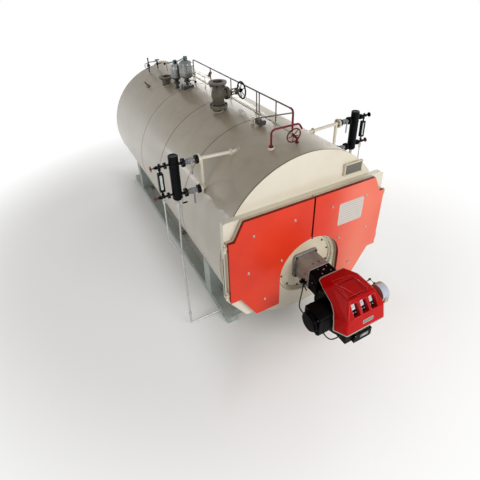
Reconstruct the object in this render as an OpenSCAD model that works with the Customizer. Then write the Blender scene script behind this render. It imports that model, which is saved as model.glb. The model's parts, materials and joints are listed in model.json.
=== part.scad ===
// Horizontal fire-tube steam boiler with a front burner, on a skid.
// Millimetres, Z up. The origin is on the floor, under the middle of the casing.
// The burner end points to -Y. Front distances are measured from the casing's front face.

/* [Vessel] */
// Outside diameter of the casing
casing_d = 2300; // [2200:10:2500]
// Length of the casing from front face to rear face
casing_length = 4920; // [4700:10:5400]
// Height of the casing's axis above the floor
axis_height = 1300; // [1290:5:1500]
// Thickness of the insulation under the cladding, cladding included
insulation_t = 100; // [80:5:120]
// Wall of the pressure shell
shell_wall = 16; // [10:1:25]
// Distance of the first cladding seam from the front face
seam_1 = 1183; // [1100:1:1300]
// Distance of the second cladding seam from the front face
seam_2 = 2161; // [2000:1:2300]
// Distance of the third cladding seam from the front face
seam_3 = 3098; // [2900:1:3300]
// Chamfer of the cladding at each seam
seam_chamfer = 3; // [1:0.5:5]
// Radius of the rear access cover
rear_access_r = 620; // [500:10:660]
// Bore of the flue outlet
flue_d = 434; // [380:2:450]
// Length of the flue outlet
flue_len = 130; // [80:5:200]
// Height of the flue outlet above the casing's axis
flue_rise = 900; // [880:5:920]
// Thickness of the plates that close the casing
cover_t = 10; // [6:1:16]
// Distance of the front tube plate behind the front face
tube_plate_inset = 350; // [300:5:420]
// Thickness of the tube plate
tube_plate_t = 22; // [16:1:30]
// Outside diameter of a fire tube
fire_tube_d = 63.5; // [57:0.5:76]
// Distance between neighbouring fire tubes
fire_tube_pitch = 100; // [95:1:120]

/* [Skid] */
// Height of a skid beam
beam_h = 100; // [80:5:140]
// Width of a skid beam
beam_w = 143; // [120:1:180]
// Wall of a skid beam
beam_wall = 8; // [5:1:12]
// Width over both skid beams
skid_width = 1960; // [1800:10:2040]
// Distance of the beams' front ends behind the front face
beam_front = 260; // [200:5:400]
// Distance of the beams' rear ends before the rear face
beam_rear = 40; // [0:5:200]
// Diameter of the lifting hole near each end of a beam
beam_hole_d = 36; // [20:2:50]
// Distance of the lifting holes from the beam's ends
beam_hole_inset = 130; // [90:5:200]
// Width of a cross member along the boiler
cross_w = 100; // [80:5:140]
// Distance of the front saddle behind the front face
saddle_front = 797; // [700:1:900]
// Distance of the rear saddle's front face behind the front face
saddle_rear = 4236; // [4100:1:4400]
// Length of a saddle along the boiler
saddle_len = 200; // [150:5:300]
// Plate thickness of the saddles
saddle_t = 14; // [10:1:20]
// Height of the saddles' outer edges above the floor
saddle_h = 640; // [560:5:700]

/* [Smoke box and doors] */
// Height of the furnace and burner axis under the casing's axis
burner_drop = 385; // [360:1:400]
// Half width of the smoke box
box_half_w = 1130; // [1125:1:1145]
// Height of the smoke box's top above the casing's axis
box_top = 640; // [630:1:660]
// Height of the smoke box's bottom under the casing's axis
box_bottom = 850; // [840:1:870]
// Half width of the smoke box's flat bottom
box_bottom_half_w = 865; // [840:1:880]
// Height under the casing's axis where the smoke box's flanks turn in
box_turn = 470; // [450:1:490]
// Depth of the smoke box in front of the casing
box_depth = 60; // [50:1:80]
// Wall of the smoke box
box_wall = 10; // [6:1:14]
// Corner radius of the smoke box
box_r = 40; // [20:1:60]
// Thickness of a door with its lining
door_t = 72; // [60:1:90]
// Gap between the doors and the frame behind them
door_back_gap = 5; // [3:0.5:8]
// Gap between the two doors
door_gap = 24; // [16:1:30]
// Distance of the doors' straight outer edges inside the smoke box's flanks
door_inset = 20; // [16:1:26]
// Distance of the doors' top corners inside the smoke box's flanks
door_top_inset = 210; // [190:1:230]
// Distance of the doors' upper notches inside the smoke box's flanks
door_notch_inset = 97; // [85:1:110]
// Distance of the doors' bottom corners inside the smoke box's flanks
door_bottom_inset = 360; // [340:1:380]
// Height of the doors' top edges above the casing's axis
door_top = 640; // [630:1:650]
// Height of the upper notch above the casing's axis
door_notch_top = 415; // [400:1:430]
// Depth of the lower notch under the casing's axis
door_notch_bottom = 455; // [440:1:470]
// Depth of the doors' bottom edges under the casing's axis
door_bottom = 812; // [800:1:830]
// Width of the lower notch in a door's outer edge
lower_notch_w = 130; // [110:1:150]
// Radius of the doors' arch round the burner plate
arch_r = 452; // [446:1:462]
// Sideways offset of the doors' arch from the centre line
arch_side = 12; // [0:1:14]
// Lap of each door over the frame round its opening
door_lap = 60; // [50:1:80]
// Sideways distance of a hinge pin outside the door's edge
hinge_out = 30; // [28:1:44]
// Diameter of a hinge pin
hinge_pin_d = 16; // [12:1:20]
// Radial clearance of a hinge pin in its eye
hinge_clear = 0.5; // [0.3:0.1:1]
// Outside diameter of a hinge eye
hinge_eye_d = 38; // [34:1:44]
// Thickness of the leaf between a hinge eye and its door
hinge_leaf = 22; // [14:1:28]
// Height of a hinge eye
hinge_eye_h = 55; // [40:1:80]
// Height of the upper hinge above the casing's axis
hinge_top = 330; // [300:1:360]
// Depth of the lower hinge under the casing's axis
hinge_bottom = 370; // [340:1:400]
// Furthest opening of a door, in degrees
door_open = 105; // [90:1:110]

/* [Burner] */
// Radius of the round burner plate
burner_plate_r = 386; // [378:1:390]
// Thickness of the burner plate
burner_plate_t = 20; // [14:1:26]
// Distance of the burner plate's face before the casing's front face
burner_plate_out = 40; // [34:1:46]
// Width of the stepped ring round the burner plate
plate_ring_w = 44; // [36:1:46]
// Radius of the bolt circle of the burner plate
burner_bolt_r = 360; // [354:1:364]
// Number of bolts in the burner plate
burner_bolts = 12; // [8:1:16]
// Diameter of the bolt holes in the burner plate
burner_bolt_d = 18; // [14:1:22]
// Width of the burner's square flange
flange_w = 360; // [340:1:380]
// Thickness of the burner's square flange
flange_t = 26; // [20:1:32]
// Width of the burner's cast duct
duct_w = 300; // [280:1:310]
// Wall of the cast duct
duct_wall = 12; // [8:1:16]
// Length of the cast duct in front of its flange
duct_len = 268; // [250:1:280]
// Length of the burner's neck between duct and hood
neck_len = 150; // [130:1:170]
// Radius of the fan volute
volute_r = 270; // [250:1:290]
// Width of the fan volute
volute_w = 390; // [360:1:400]
// Distance of the fan's axis before the casing's front face
fan_out = 715; // [700:1:725]
// Height of the fan's axis under the burner axis
fan_drop = 190; // [180:1:200]
// Width of the burner's body behind the fan
body_w = 290; // [260:1:300]
// Height of the burner's body behind the fan
body_h = 270; // [240:1:280]
// Sideways offset of the volute from the burner axis
burner_side = 60; // [50:1:70]
// Wall of the hood
hood_wall = 6; // [4:0.5:8]
// Width of the pale rim at the hood's edge
rim_w = 14; // [10:1:20]
// Sideways place of the hood's middle
hood_side = 97; // [90:1:104]
// Length of the hood from its rear edge to its front
hood_len = 574; // [560:1:590]
// Width of the hood at its lower edge
hood_w = 682; // [660:1:700]
// Height that the hood's corners are taken from
hood_h = 1000; // [960:5:1030]
// Depth of the hood's lower edge under the burner axis
hood_edge = 232; // [220:1:240]
// Width of a window in the hood
window_w = 98; // [80:1:104]
// Height of a window in the hood
window_h = 154; // [130:1:160]
// Lean of the windows from the vertical, in degrees
window_lean = 38; // [30:1:45]
// Distance between the windows' centres
window_pitch = 126; // [115:1:130]
// Width of the sunk panel in the hood's top
panel_w = 262; // [220:1:280]
// Length of the sunk panel in the hood's top
panel_len = 215; // [180:1:230]
// Distance of the servo box's middle before the front face
servo_out = 885; // [875:1:900]
// Radius of the servo box's rounded top
servo_r = 102; // [90:1:108]
// Width of the servo box
servo_w = 58; // [45:1:70]
// Width of the burner's base beside the gas block
base_w = 112; // [90:1:130]
// Width of the gas block
block_w = 262; // [220:1:280]
// Depth of the gas block's underside under the burner axis
block_low = 535; // [515:1:560]
// Diameter of the burner's cables
cable_d = 15; // [10:1:18]
// Width of the fan motor's square body
motor_w = 270; // [240:1:280]
// Length of the fan motor's body
motor_len = 245; // [220:1:260]
// Radius of the motor's round end cover
motor_cap_r = 118; // [100:1:124]
// Length of the motor's round end cover
motor_cap_len = 55; // [45:1:70]

/* [Steam outlets] */
// Sideways place of the stop valve from the centre line, to the left
valve_left = 240; // [200:5:260]
// Distance of the stop valve behind the front face
valve_y = 1795; // [1600:5:1900]
// Outside diameter of the stop valve's flanges
valve_flange_d = 250; // [240:1:285]
// Bore of the stop valve
valve_bore_d = 125; // [100:1:130]
// Bolt circle of the stop valve's flanges
valve_pcd = 210; // [200:1:215]
// Diameter of the flange bolt holes
valve_hole_d = 18; // [14:1:22]
// Number of flange bolts
valve_bolts = 8; // [4:4:12]
// Height of the stop valve between its flange faces
valve_h = 340; // [320:1:400]
// Height of the nozzle face under the stop valve above the casing's axis
valve_seat_z = 1195; // [1180:1:1230]
// Thickness of a flange
flange_plate_t = 24; // [18:1:30]
// Diameter of the stop valve's bonnet flange
bonnet_d = 178; // [160:2:200]
// Distance of the bonnet joint from the stop valve's centre line
bonnet_out = 128; // [120:2:150]
// Diameter of the stop valve's handwheel
valve_wheel_d = 257; // [230:1:280]
// Sideways place of the rear nozzle from the centre line, to the left
rear_nozzle_left = 385; // [350:5:400]
// Distance of the rear nozzle behind the front face
rear_nozzle_y = 3617; // [3500:5:3700]
// Height of the rear nozzle's flange face above the casing's axis
rear_nozzle_z = 1222; // [1210:1:1260]
// Distance of the safety valves before the third seam
safety_before_seam = 31; // [0:1:70]
// Sideways place of the front safety valve, to the left
safety_left = 205; // [180:5:240]
// Distance of the rear safety valve behind the front one
safety_pitch = 175; // [170:5:220]
// Sideways distance of the rear safety valve from the front one, to the left
safety_side = 118; // [114:2:140]
// Height of the safety valves' branch above the casing's crown
safety_base_h = 24; // [10:1:40]
// Outside diameter of a safety valve's body
safety_d = 236; // [220:1:244]

/* [Crown fittings] */
// Distance of the vent pipe behind the front face
vent_y = 361; // [300:1:400]
// Sideways place of the vent pipe's stub, to the left
vent_left = 280; // [280:5:320]
// Outside diameter of the vent pipe
vent_d = 24; // [20:1:32]
// Diameter of the vent valve's handwheel
vent_wheel_d = 190; // [170:5:210]
// Distance of the lifting lugs before the rear face
lug_rear = 880; // [780:5:1000]
// Angle of the lifting lugs from the vertical
lug_angle = 32; // [20:1:45]
// Distance of the small rear valves before the rear face
rear_valve_inset = 350; // [250:5:450]
// Sideways place of the outer small rear valve, to the left
rear_valve_left = 410; // [380:5:440]
// Distance between the small rear valves
rear_valve_pitch = 178; // [160:1:200]
// Distance of the pressure switch behind the front face
switch_y = 890; // [860:5:960]
// Sideways place of the handrail from the centre line, to the right
rail_right = 157; // [140:1:180]
// Foot of the handrail's stay sideways
stay_x = -118; // [-130:1:-108]
// Foot of the handrail's stay behind the front face
stay_y = 1062; // [1050:1:1075]
// Height of the handrail above the casing's crown
rail_h = 280; // [250:5:400]
// Outside diameter of the handrail
rail_d = 20; // [16:1:27]
// Distance of the handrail's front end behind the front face
rail_front = 572; // [500:2:640]
// Distance of the handrail's rear end behind the front face
rail_rear = 3654; // [3500:2:3800]

/* [Water gauges] */
// Distance of the gauge sets behind the front face
gauge_y = 727; // [700:1:760]
// Sideways place of the gauge columns
column_x = 1320; // [1300:1:1340]
// Outside diameter of a gauge column
column_d = 114; // [108:1:121]
// Height of the column's bottom above the casing's axis
column_low = 566; // [550:1:580]
// Height of the column's top above the casing's axis
column_high = 1140; // [1120:1:1160]
// Height of the lower gauge pipe above the casing's axis
gauge_low = 635; // [625:1:645]
// Height of the upper gauge pipe above the casing's axis
gauge_high = 1025; // [1010:1:1040]
// Sideways place of the tees in the gauge pipes
tee_x = 992; // [985:1:1010]
// How much lower the upper gauge pipe meets the casing
pipe_fall = 22; // [10:1:30]
// Sideways place of the gauge pipes' flange faces
gauge_face = 1034; // [1030:1:1050]
// Outside diameter of the gauge pipes' flanges
gauge_flange_d = 104; // [95:1:115]
// Thickness of the gauge pipes' flanges
gauge_flange_t = 14; // [10:1:18]
// Outside diameter of the gauge pipes
gauge_pipe_d = 42; // [34:1:48]
// Sideways place of the gauge glass
glass_x = 1487; // [1475:1:1500]
// Width of the gauge glass frame
glass_w = 62; // [54:1:66]
// Length of the gauge glass frame
glass_h = 236; // [220:1:250]
// Height of the lower cock above its gauge pipe
cock_rise_low = 22; // [10:1:40]
// Height of the upper cock above its gauge pipe
cock_rise_high = 16; // [10:1:40]
// Diameter of a gauge cock's handwheel
cock_wheel_d = 66; // [50:1:80]
// Diameter of a gauge cock's stem
cock_stem_d = 11; // [8:1:14]
// Sideways place of the drains at the floor
drain_x = 1420; // [1380:5:1450]
// Distance of the drains behind the front face at the floor
drain_foot = 490; // [450:5:560]
// Outside diameter of the drain pipes
drain_d = 22; // [18:1:27]

/* [Hidden] */
$fn = 48;
eps = 0.01;
// Gap between curved faces that would touch
seat = 0.3;
casing_r = casing_d / 2;
front = -casing_length / 2;
rear = casing_length / 2;
shell_r = casing_r - insulation_t - seat;
burner_z = axis_height - burner_drop;
frame_y = front - box_depth - box_wall;
door_y = frame_y - door_back_gap;
door_face = door_y - door_t;
door_half_w = box_half_w - door_inset;
hinge_x = door_half_w + hinge_out;
hinge_y = door_y - door_t / 2;
plate_y = front - burner_plate_out;
duct_y = plate_y - flange_t - duct_len;
neck_y = duct_y - neck_len;
fan_z = burner_z - fan_drop;
fan_y = front - fan_out;
// Sideways place where the gas block meets the burner's base
block_x = hood_side - 55;
valve_face = axis_height + valve_seat_z;
valve_mid = valve_face + valve_h * 0.47;
valve_wheel_x = -valve_left + 350;
valve_stem_d = 24;
vent_stem_d = 14;
// Radial clearance between a handwheel's hub and its stem
hub_clear = 0.5;
cock_wheel_x = glass_x + 95;
vent_wheel = [-30, front + vent_y - 76, axis_height + casing_r + 100];
vent_tilt = 45;

// Height of the casing's surface above the floor at a sideways place
function crown(x) = axis_height + sqrt(casing_r * casing_r - x * x);
function side(x) = x < 0 ? -1 : 1;

// A rod between two points
module rod(p, q, d) {
    v = q - p;
    l = norm(v);
    turn = [0, acos(v[2] / l), atan2(v[1], v[0])];
    translate(p) rotate(turn) cylinder(d = d, h = l);
}

// A pipe through a list of points, with a screwed elbow at each inner bend
module pipe(points, d, elbow = 1.3) {
    for (i = [0 : len(points) - 2]) rod(points[i], points[i + 1], d);
    for (i = [1 : len(points) - 2]) translate(points[i]) sphere(d = d * elbow);
}

// The room of the casing, kept free by what stands on it
module casing_room() translate([0, 0, axis_height]) rotate([90, 0, 0])
    cylinder(r = casing_r + seat, h = casing_length, center = true, $fn = 360);

// A disc along Y from y0 to y1
module disc_y(r, y0, y1) translate([0, y1, 0]) rotate([90, 0, 0]) cylinder(r = r, h = y1 - y0, $fn = 96);

// A plane outline in X and Z, given its thickness from y0 to y1
module slab_y(y0, y1) translate([0, y1, 0]) rotate([90, 0, 0]) linear_extrude(y1 - y0) children();

// A plane outline in Y and Z, given its thickness from x0 to x1
module slab_x(x0, x1) translate([x0, 0, 0]) rotate([90, 0, 90]) linear_extrude(x1 - x0) children();

// A handwheel about the Z axis: hub at the origin, with the rim set out along Z by the dish
module handwheel(d, rim, spokes, hub_d, hub_h, stem_d, dish = 0) {
    reach = d / 2 - rim / 2;
    difference() {
        union() {
            translate([0, 0, dish]) rotate_extrude($fn = 96) translate([reach, 0]) circle(d = rim, $fn = 24);
            for (i = [0 : spokes - 1]) rotate([0, 0, i * 360 / spokes]) rod([0, 0, 0], [reach, 0, dish], rim * 0.6);
            translate([0, 0, -hub_h / 2]) cylinder(d = hub_d, h = hub_h);
        }
        translate([0, 0, -hub_h]) cylinder(d = stem_d, h = 2 * hub_h);
    }
}

// A flange about the Z axis, on the plane Z = 0, with its bore and bolt holes
module flange(d, t, bore, pcd, holes, hole_d) {
    difference() {
        cylinder(d = d, h = t, $fn = 64);
        translate([0, 0, -1]) cylinder(d = bore, h = t + 2);
        for (i = [0 : holes - 1]) rotate([0, 0, (i + 0.5) * 360 / holes])
            translate([pcd / 2, 0, -1]) cylinder(d = hole_d, h = t + 2, $fn = 24);
    }
}

// Skid

module skid_beam() {
    len = casing_length - beam_front - beam_rear;
    y0 = front + beam_front;
    cap = 6;
    difference() {
        translate([0, y0, 0]) cube([beam_w, len, beam_h]);
        translate([beam_wall, y0 + cap, beam_wall])
            cube([beam_w - 2 * beam_wall, len - 2 * cap, beam_h - 2 * beam_wall]);
        for (y = [y0 + beam_hole_inset, y0 + len - beam_hole_inset])
            translate([-1, y, beam_h / 2]) rotate([0, 90, 0]) cylinder(d = beam_hole_d, h = beam_w + 2);
    }
}

module skid_beams() color("slategray") for (x = [-skid_width / 2, skid_width / 2 - beam_w])
    translate([x, 0, 0]) skid_beam();

// Channel cross members between the beams, one of them on the origin
module skid_cross_members() color("slategray") {
    inner = skid_width - 2 * beam_w;
    places = [beam_front + beam_hole_inset, saddle_front + saddle_len / 2, casing_length / 2,
              saddle_rear + saddle_len / 2, casing_length - beam_rear - beam_hole_inset];
    for (y = places) translate([-inner / 2, front + y - cross_w / 2, 0]) difference() {
        cube([inner, cross_w, beam_h]);
        translate([-1, beam_wall, beam_wall]) cube([inner + 2, cross_w, beam_h - 2 * beam_wall]);
    }
}

// One saddle: front and rear webs, closed sides, and ribs that carry the shell
module saddle(y0) {
    half = skid_width / 2;
    module web() difference() {
        translate([-half, beam_h]) square([2 * half, saddle_h - beam_h]);
        translate([0, axis_height]) circle(r = casing_r + seat, $fn = 360);
    }
    slab_y(y0, y0 + saddle_t) web();
    slab_y(y0 + saddle_len - saddle_t, y0 + saddle_len) web();
    rib_x = [half - saddle_t, half - beam_w - saddle_t / 2, half / 3];
    for (s = [-1, 1]) for (x = rib_x) intersection() {
        translate([s > 0 ? x : -x - saddle_t, y0 + saddle_t, beam_h])
            cube([saddle_t, saddle_len - 2 * saddle_t, saddle_h - beam_h]);
        slab_y(y0, y0 + saddle_len) web();
    }
}

module saddles() color("slategray") for (y = [saddle_front, saddle_rear]) saddle(front + y);

// Vessel

module pressure_shell() color("dimgray") translate([0, 0, axis_height]) difference() {
    disc_y(shell_r, front + cover_t, rear - cover_t);
    disc_y(shell_r - shell_wall, front, rear - cover_t - tube_plate_t);
}

// Tube plate with the furnace mouth and two banks of fire tubes
module front_tube_plate() color("dimgray") {
    y0 = front + tube_plate_inset;
    r = shell_r - shell_wall - seat;
    furnace_r = burner_plate_r - 40;
    cols = floor(r / fire_tube_pitch);
    difference() {
        translate([0, 0, axis_height]) disc_y(r, y0, y0 + tube_plate_t);
        translate([0, 0, burner_z]) disc_y(furnace_r, y0 - 1, y0 + tube_plate_t + 1);
        for (i = [-cols : cols]) for (j = [-cols : cols]) {
            x = i * fire_tube_pitch;
            z = j * fire_tube_pitch;
            clear_shell = norm([x, z]) < r - fire_tube_pitch * 0.7;
            clear_furnace = norm([x, z + burner_drop]) > furnace_r + fire_tube_pitch * 0.9;
            if (clear_shell && clear_furnace && abs(x) > fire_tube_pitch && z < 4 * fire_tube_pitch)
                translate([x, 0, axis_height + z]) disc_y(fire_tube_d / 2, y0 - 1, y0 + tube_plate_t + 1);
        }
    }
}

// Cladding with its insulation between two seams, chamfered at the seams
module casing_section(a, b) color("ivory") {
    c = seam_chamfer;
    ri = casing_r - insulation_t;
    profile = [[ri, 0], [casing_r - c, 0], [casing_r, c], [casing_r, b - a - c], [casing_r - c, b - a], [ri, b - a]];
    translate([0, front + b, axis_height]) rotate([90, 0, 0]) rotate_extrude($fn = 120) polygon(profile);
}

module casing_section_1() casing_section(cover_t, seam_1);
module casing_section_2() casing_section(seam_1, seam_2);
module casing_section_3() casing_section(seam_2, seam_3);
module casing_section_4() casing_section(seam_3, casing_length - cover_t);

// Outline of the smoke box about the casing's axis, grown by a margin
module box_outline(grow) offset(r = box_r) offset(delta = -box_r) offset(delta = grow) polygon([
    [-box_half_w, box_top], [box_half_w, box_top], [box_half_w, -box_turn],
    [box_bottom_half_w, -box_bottom], [-box_bottom_half_w, -box_bottom], [-box_half_w, -box_turn]]);

// The disc that closes the casing, open to the smoke box
module front_cover_plate() color("ivory") translate([0, 0, axis_height]) slab_y(front, front + cover_t) difference() {
    circle(r = casing_r, $fn = 120);
    intersection() {
        circle(r = shell_r - shell_wall - 2 * box_wall, $fn = 120);
        translate([-casing_r, -box_bottom + 2 * box_wall]) square([casing_d, box_bottom + box_top - 3 * box_wall]);
    }
}

module rear_cover_plate() color("ivory") translate([0, 0, axis_height]) disc_y(casing_r, rear - cover_t, rear);

// Bolted cover over the rear smoke box
module rear_access_cover() color("ivory") translate([0, 0, axis_height]) {
    cover_r = rear_access_r;
    bolt_r = cover_r - 40;
    count = 20;
    difference() {
        union() {
            disc_y(cover_r, rear, rear + 24);
            disc_y(cover_r * 0.5, rear + 24, rear + 40);
        }
        for (i = [0 : count - 1]) translate([bolt_r * cos(i * 360 / count), 0, bolt_r * sin(i * 360 / count)])
            disc_y(9, rear + 12, rear + 30);
    }
}

// Round flue stub at the top of the rear face
module flue_outlet() color("ivory") {
    wall = 8;
    lip = 12;
    translate([0, rear, axis_height + flue_rise]) rotate([-90, 0, 0]) difference() {
        union() {
            cylinder(d = flue_d + 2 * wall, h = flue_len);
            translate([0, 0, flue_len - lip]) cylinder(d = flue_d + 106, h = lip);
        }
        translate([0, 0, -1]) cylinder(d = flue_d, h = flue_len + 2);
        for (i = [0 : 11]) rotate([0, 0, (i + 0.5) * 30])
            translate([flue_d / 2 + 33, 0, flue_len - lip - 1]) cylinder(d = 14, h = lip + 2, $fn = 24);
    }
}

// Smoke box and doors

// Outline of one door about the casing's axis; s is -1 on the left and 1 on the right
module door_outline(s) mirror([s < 0 ? 1 : 0, 0]) difference() {
    polygon([[door_gap / 2, door_top], [box_half_w - door_top_inset, door_top],
             [box_half_w - door_notch_inset, door_notch_top], [door_half_w, door_notch_top],
             [door_half_w, -door_notch_bottom], [door_half_w - lower_notch_w, -door_notch_bottom],
             [box_half_w - door_bottom_inset, -door_bottom], [door_gap / 2, -door_bottom]]);
    translate([s * arch_side, -burner_drop]) circle(r = arch_r, $fn = 96);
    translate([-1, -door_bottom - 1]) square([s * arch_side + arch_r + 1, door_bottom - burner_drop + 1]);
}

// Collar round the doors, front frame with the two door openings, and the hinge pins
module smoke_box_frame() color("ivory") {
    inner_top = box_top - 2 * box_wall;
    translate([0, 0, axis_height]) {
        slab_y(front - box_depth, front) difference() {
            box_outline(0);
            box_outline(-box_wall);
        }
        slab_y(frame_y, front - box_depth) difference() {
            box_outline(0);
            for (s = [-1, 1]) intersection() {
                offset(delta = -door_lap) door_outline(s);
                circle(r = shell_r - shell_wall - 2 * box_wall, $fn = 96);
            }
            translate([0, -burner_drop]) circle(r = burner_plate_r + plate_ring_w / 2, $fn = 96);
        }
    }
    plate_ring();
    for (s = [-1, 1]) for (z = [hinge_top, -hinge_bottom]) hinge_seat(s, axis_height + z);
}

// Stepped ring of the frame that holds the burner plate
module plate_ring() translate([0, front, burner_z]) rotate([90, 0, 0]) rotate_extrude($fn = 96) polygon([
    [burner_plate_r - 30, burner_plate_out - burner_plate_t - 10], [burner_plate_r + 25, burner_plate_out - burner_plate_t - 10],
    [burner_plate_r + 25, box_depth - 8], [burner_plate_r + plate_ring_w, box_depth - 8],
    [burner_plate_r + plate_ring_w, box_depth + box_wall + 12], [burner_plate_r + plate_ring_w / 2, box_depth + box_wall + 12],
    [burner_plate_r + plate_ring_w / 2, burner_plate_out + 14], [burner_plate_r + 1, burner_plate_out + 14],
    [burner_plate_r + 1, burner_plate_out - burner_plate_t], [burner_plate_r - 30, burner_plate_out - burner_plate_t]]);

// Bracket under a door's hinge eye with the pin that goes up through the eye
module hinge_seat(s, z) {
    bracket_h = 36;
    x = s * hinge_x;
    translate([min(x, s * (box_half_w - box_wall)), hinge_y, z - bracket_h])
        cube([abs(hinge_x - box_half_w + box_wall), frame_y - hinge_y + box_wall, bracket_h]);
    translate([x, hinge_y, z - bracket_h]) cylinder(d = hinge_eye_d - 6, h = bracket_h - seat);
    translate([x, hinge_y, z - bracket_h]) cylinder(d = hinge_pin_d, h = bracket_h + hinge_eye_h + 10);
}

// One door: a lined pan with its two hinge eyes
module door(s) {
    translate([0, 0, axis_height]) slab_y(door_face, door_y) door_outline(s);
    for (z = [hinge_top, -hinge_bottom]) difference() {
        union() {
            translate([s * hinge_x, hinge_y, axis_height + z]) cylinder(d = hinge_eye_d, h = hinge_eye_h);
            translate([s < 0 ? -hinge_x : door_half_w - eps, hinge_y - hinge_leaf / 2, axis_height + z])
                cube([hinge_out + eps, hinge_leaf, hinge_eye_h]);
        }
        translate([s * hinge_x, hinge_y, axis_height + z - 1])
            cylinder(d = hinge_pin_d + 2 * hinge_clear, h = hinge_eye_h + 2);
    }
}

module door_left() color("orangered") door(-1);
module door_right() color("orangered") door(1);

// Burner

module burner_plate() color("ivory") difference() {
    translate([0, 0, burner_z]) disc_y(burner_plate_r, plate_y, plate_y + burner_plate_t);
    translate([0, 0, burner_z]) disc_y(duct_w / 2 - duct_wall, plate_y - 1, plate_y + burner_plate_t + 1);
    for (i = [0 : burner_bolts - 1]) {
        a = (i + 0.5) * 360 / burner_bolts;
        translate([burner_bolt_r * cos(a), 0, burner_z + burner_bolt_r * sin(a)])
            disc_y(burner_bolt_d / 2, plate_y - 1, plate_y + burner_plate_t + 1);
    }
}

// A rectangle with round corners about the origin
module round_box(w, h, r) {
    square([w, h - 2 * r], center = true);
    square([w - 2 * r, h], center = true);
    for (x = [-1, 1]) for (y = [-1, 1]) translate([x * (w / 2 - r), y * (h / 2 - r)]) circle(r = r);
}

// A square with round corners about the origin
module round_square(w, r) round_box(w, w, r);

// Cast air duct with its square flange and the raised ring at its front end
module burner_duct() color("gray") translate([0, 0, burner_z]) difference() {
    union() {
        slab_y(plate_y - flange_t, plate_y) round_square(flange_w, 45);
        slab_y(duct_y, plate_y - flange_t) round_square(duct_w, 30);
        slab_y(duct_y, duct_y + 16) round_square(duct_w + 14, 34);
    }
    slab_y(duct_y - 1, plate_y + 1) round_square(duct_w - 2 * duct_wall, 24);
    for (x = [-1, 1]) for (z = [-1, 1]) translate([x * (flange_w / 2 - 32), 0, z * (flange_w / 2 - 32)])
        disc_y(9, plate_y - flange_t - 1, plate_y + 1);
}

// Neck, fan volute and base of the burner, one casting
module burner_body() color("black") {
    translate([0, 0, burner_z]) slab_y(neck_y, duct_y) round_square(duct_w, 24);
    translate([burner_side - volute_w / 2, fan_y, fan_z]) rotate([0, 90, 0]) cylinder(r = volute_r, h = volute_w, $fn = 96);
    translate([burner_side - body_w / 2, fan_y, burner_z - duct_w / 2]) cube([body_w, neck_y - fan_y, body_h]);
    translate([block_x - base_w, fan_y - volute_r + 15, burner_z - block_low + 20]) cube([base_w, volute_r - 60, 300]);
}

// Square fan motor with its round end cover
module burner_motor() color("black") {
    x1 = burner_side - volute_w / 2;
    r = 34;
    difference() {
        slab_x(x1 - motor_len, x1) translate([fan_y, fan_z]) round_square(motor_w, r);
        for (i = [-3 : 3]) translate([x1 - motor_len - 1, fan_y + i * 32 - 4, fan_z + motor_w / 2 - 8])
            cube([motor_len - 20, 8, 10]);
    }
    translate([x1 - motor_len - motor_cap_len, fan_y, fan_z]) rotate([0, 90, 0]) {
        cylinder(r = motor_cap_r - 12, h = 12);
        translate([0, 0, 12]) cylinder(r = motor_cap_r, h = motor_cap_len - 12);
    }
}

// Corner points of the hood's outside: left and right sideways, distance before the front face, height about
// the burner axis; the hood's length, height and width set them
hood_points = [[-125, 235, 0, 0.145], [-105, 305, 0.37, 0.182], [-85, 322, 0.78, 0.155], [-172, 384, 0.955, 0.005],
               [-172, 414, 1, -0.235], [-248, 434, 0.75, -0.235], [-222, 418, 0.66, -0.09], [-165, 362, 0.24, 0.09]];
hood_ball = 30;

// Full convex form of the hood, shrunk by a margin
module hood_form(inset) translate([0, front - neck_reach(), burner_z]) hull() for (p = hood_points) for (i = [0, 1])
    translate([hood_side + (p[i] - 97) * hood_w / 682 + (i == 0 ? hood_ball : -hood_ball),
               hood_ball - p[2] * hood_len - 6, p[3] * hood_h - hood_ball])
        sphere(r = hood_ball - inset, $fn = 28);

// Side view of what lies before the hood's open edge, moved back by a margin
module hood_region(back) translate([front - neck_reach() + back, burner_z]) polygon([
    [0, 400], [0, 120], [-0.24 * hood_len, 0.08 * hood_h], [-0.48 * hood_len, 0.03 * hood_h],
    [-0.62 * hood_len, -0.04 * hood_h], [-0.69 * hood_len, -0.12 * hood_h], [-0.745 * hood_len, -hood_edge - back],
    [-2 * hood_len, -hood_edge - back], [-2 * hood_len, 400]]);
function neck_reach() = burner_plate_out + flange_t + duct_len + neck_len;

module hood_shell(cut, rest) difference() {
    intersection() {
        hood_form(0);
        slab_x(hood_side - hood_w, hood_side + hood_w) difference() {
            hood_region(cut);
            if (rest) hood_region(-rim_w);
        }
    }
    hood_form(hood_wall);
}

// Red hood over the front of the burner with three windows in its sloping face
module burner_hood() color("firebrick") difference() {
    hood_shell(-rim_w, false);
    for (i = [-1 : 1]) translate([hood_side + 12 + i * window_pitch, front - neck_reach() - hood_len * 0.86, burner_z + 51])
        rotate([-window_lean, 0, 0]) translate([-window_w / 2, -window_w, -window_h / 2])
            cube([window_w, 2 * window_w, window_h]);
    translate([hood_side - 22, front - neck_reach() - hood_len * 0.545, burner_z + hood_h * 0.167 - 4]) rotate([6.5, 0, 0])
        linear_extrude(60) round_box(panel_w, panel_len, 22);
}

module burner_hood_rim() color("silver") hood_shell(0, true);

// Servo box beside the hood with its rounded top, and the bracket that carries it from the volute
module burner_servo() color("lightgray") {
    x0 = burner_side + volute_w / 2;
    x1 = hood_side + hood_w / 2 + 6;
    slab_x(x1, x1 + servo_w) translate([front - servo_out, burner_z - 28]) {
        translate([0, 28]) circle(r = servo_r);
        translate([-servo_r, -70]) square([servo_r * 1.75, 98]);
    }
    slab_x(x1 - 10, x1) translate([front, burner_z])
        polygon([[-servo_out + 60, 20], [-servo_out - 10, 20], [-865, -280], [-795, -280]]);
    translate([x0, front - 860, burner_z - 270]) cube([x1 - x0, 60, 30]);
}

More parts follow.
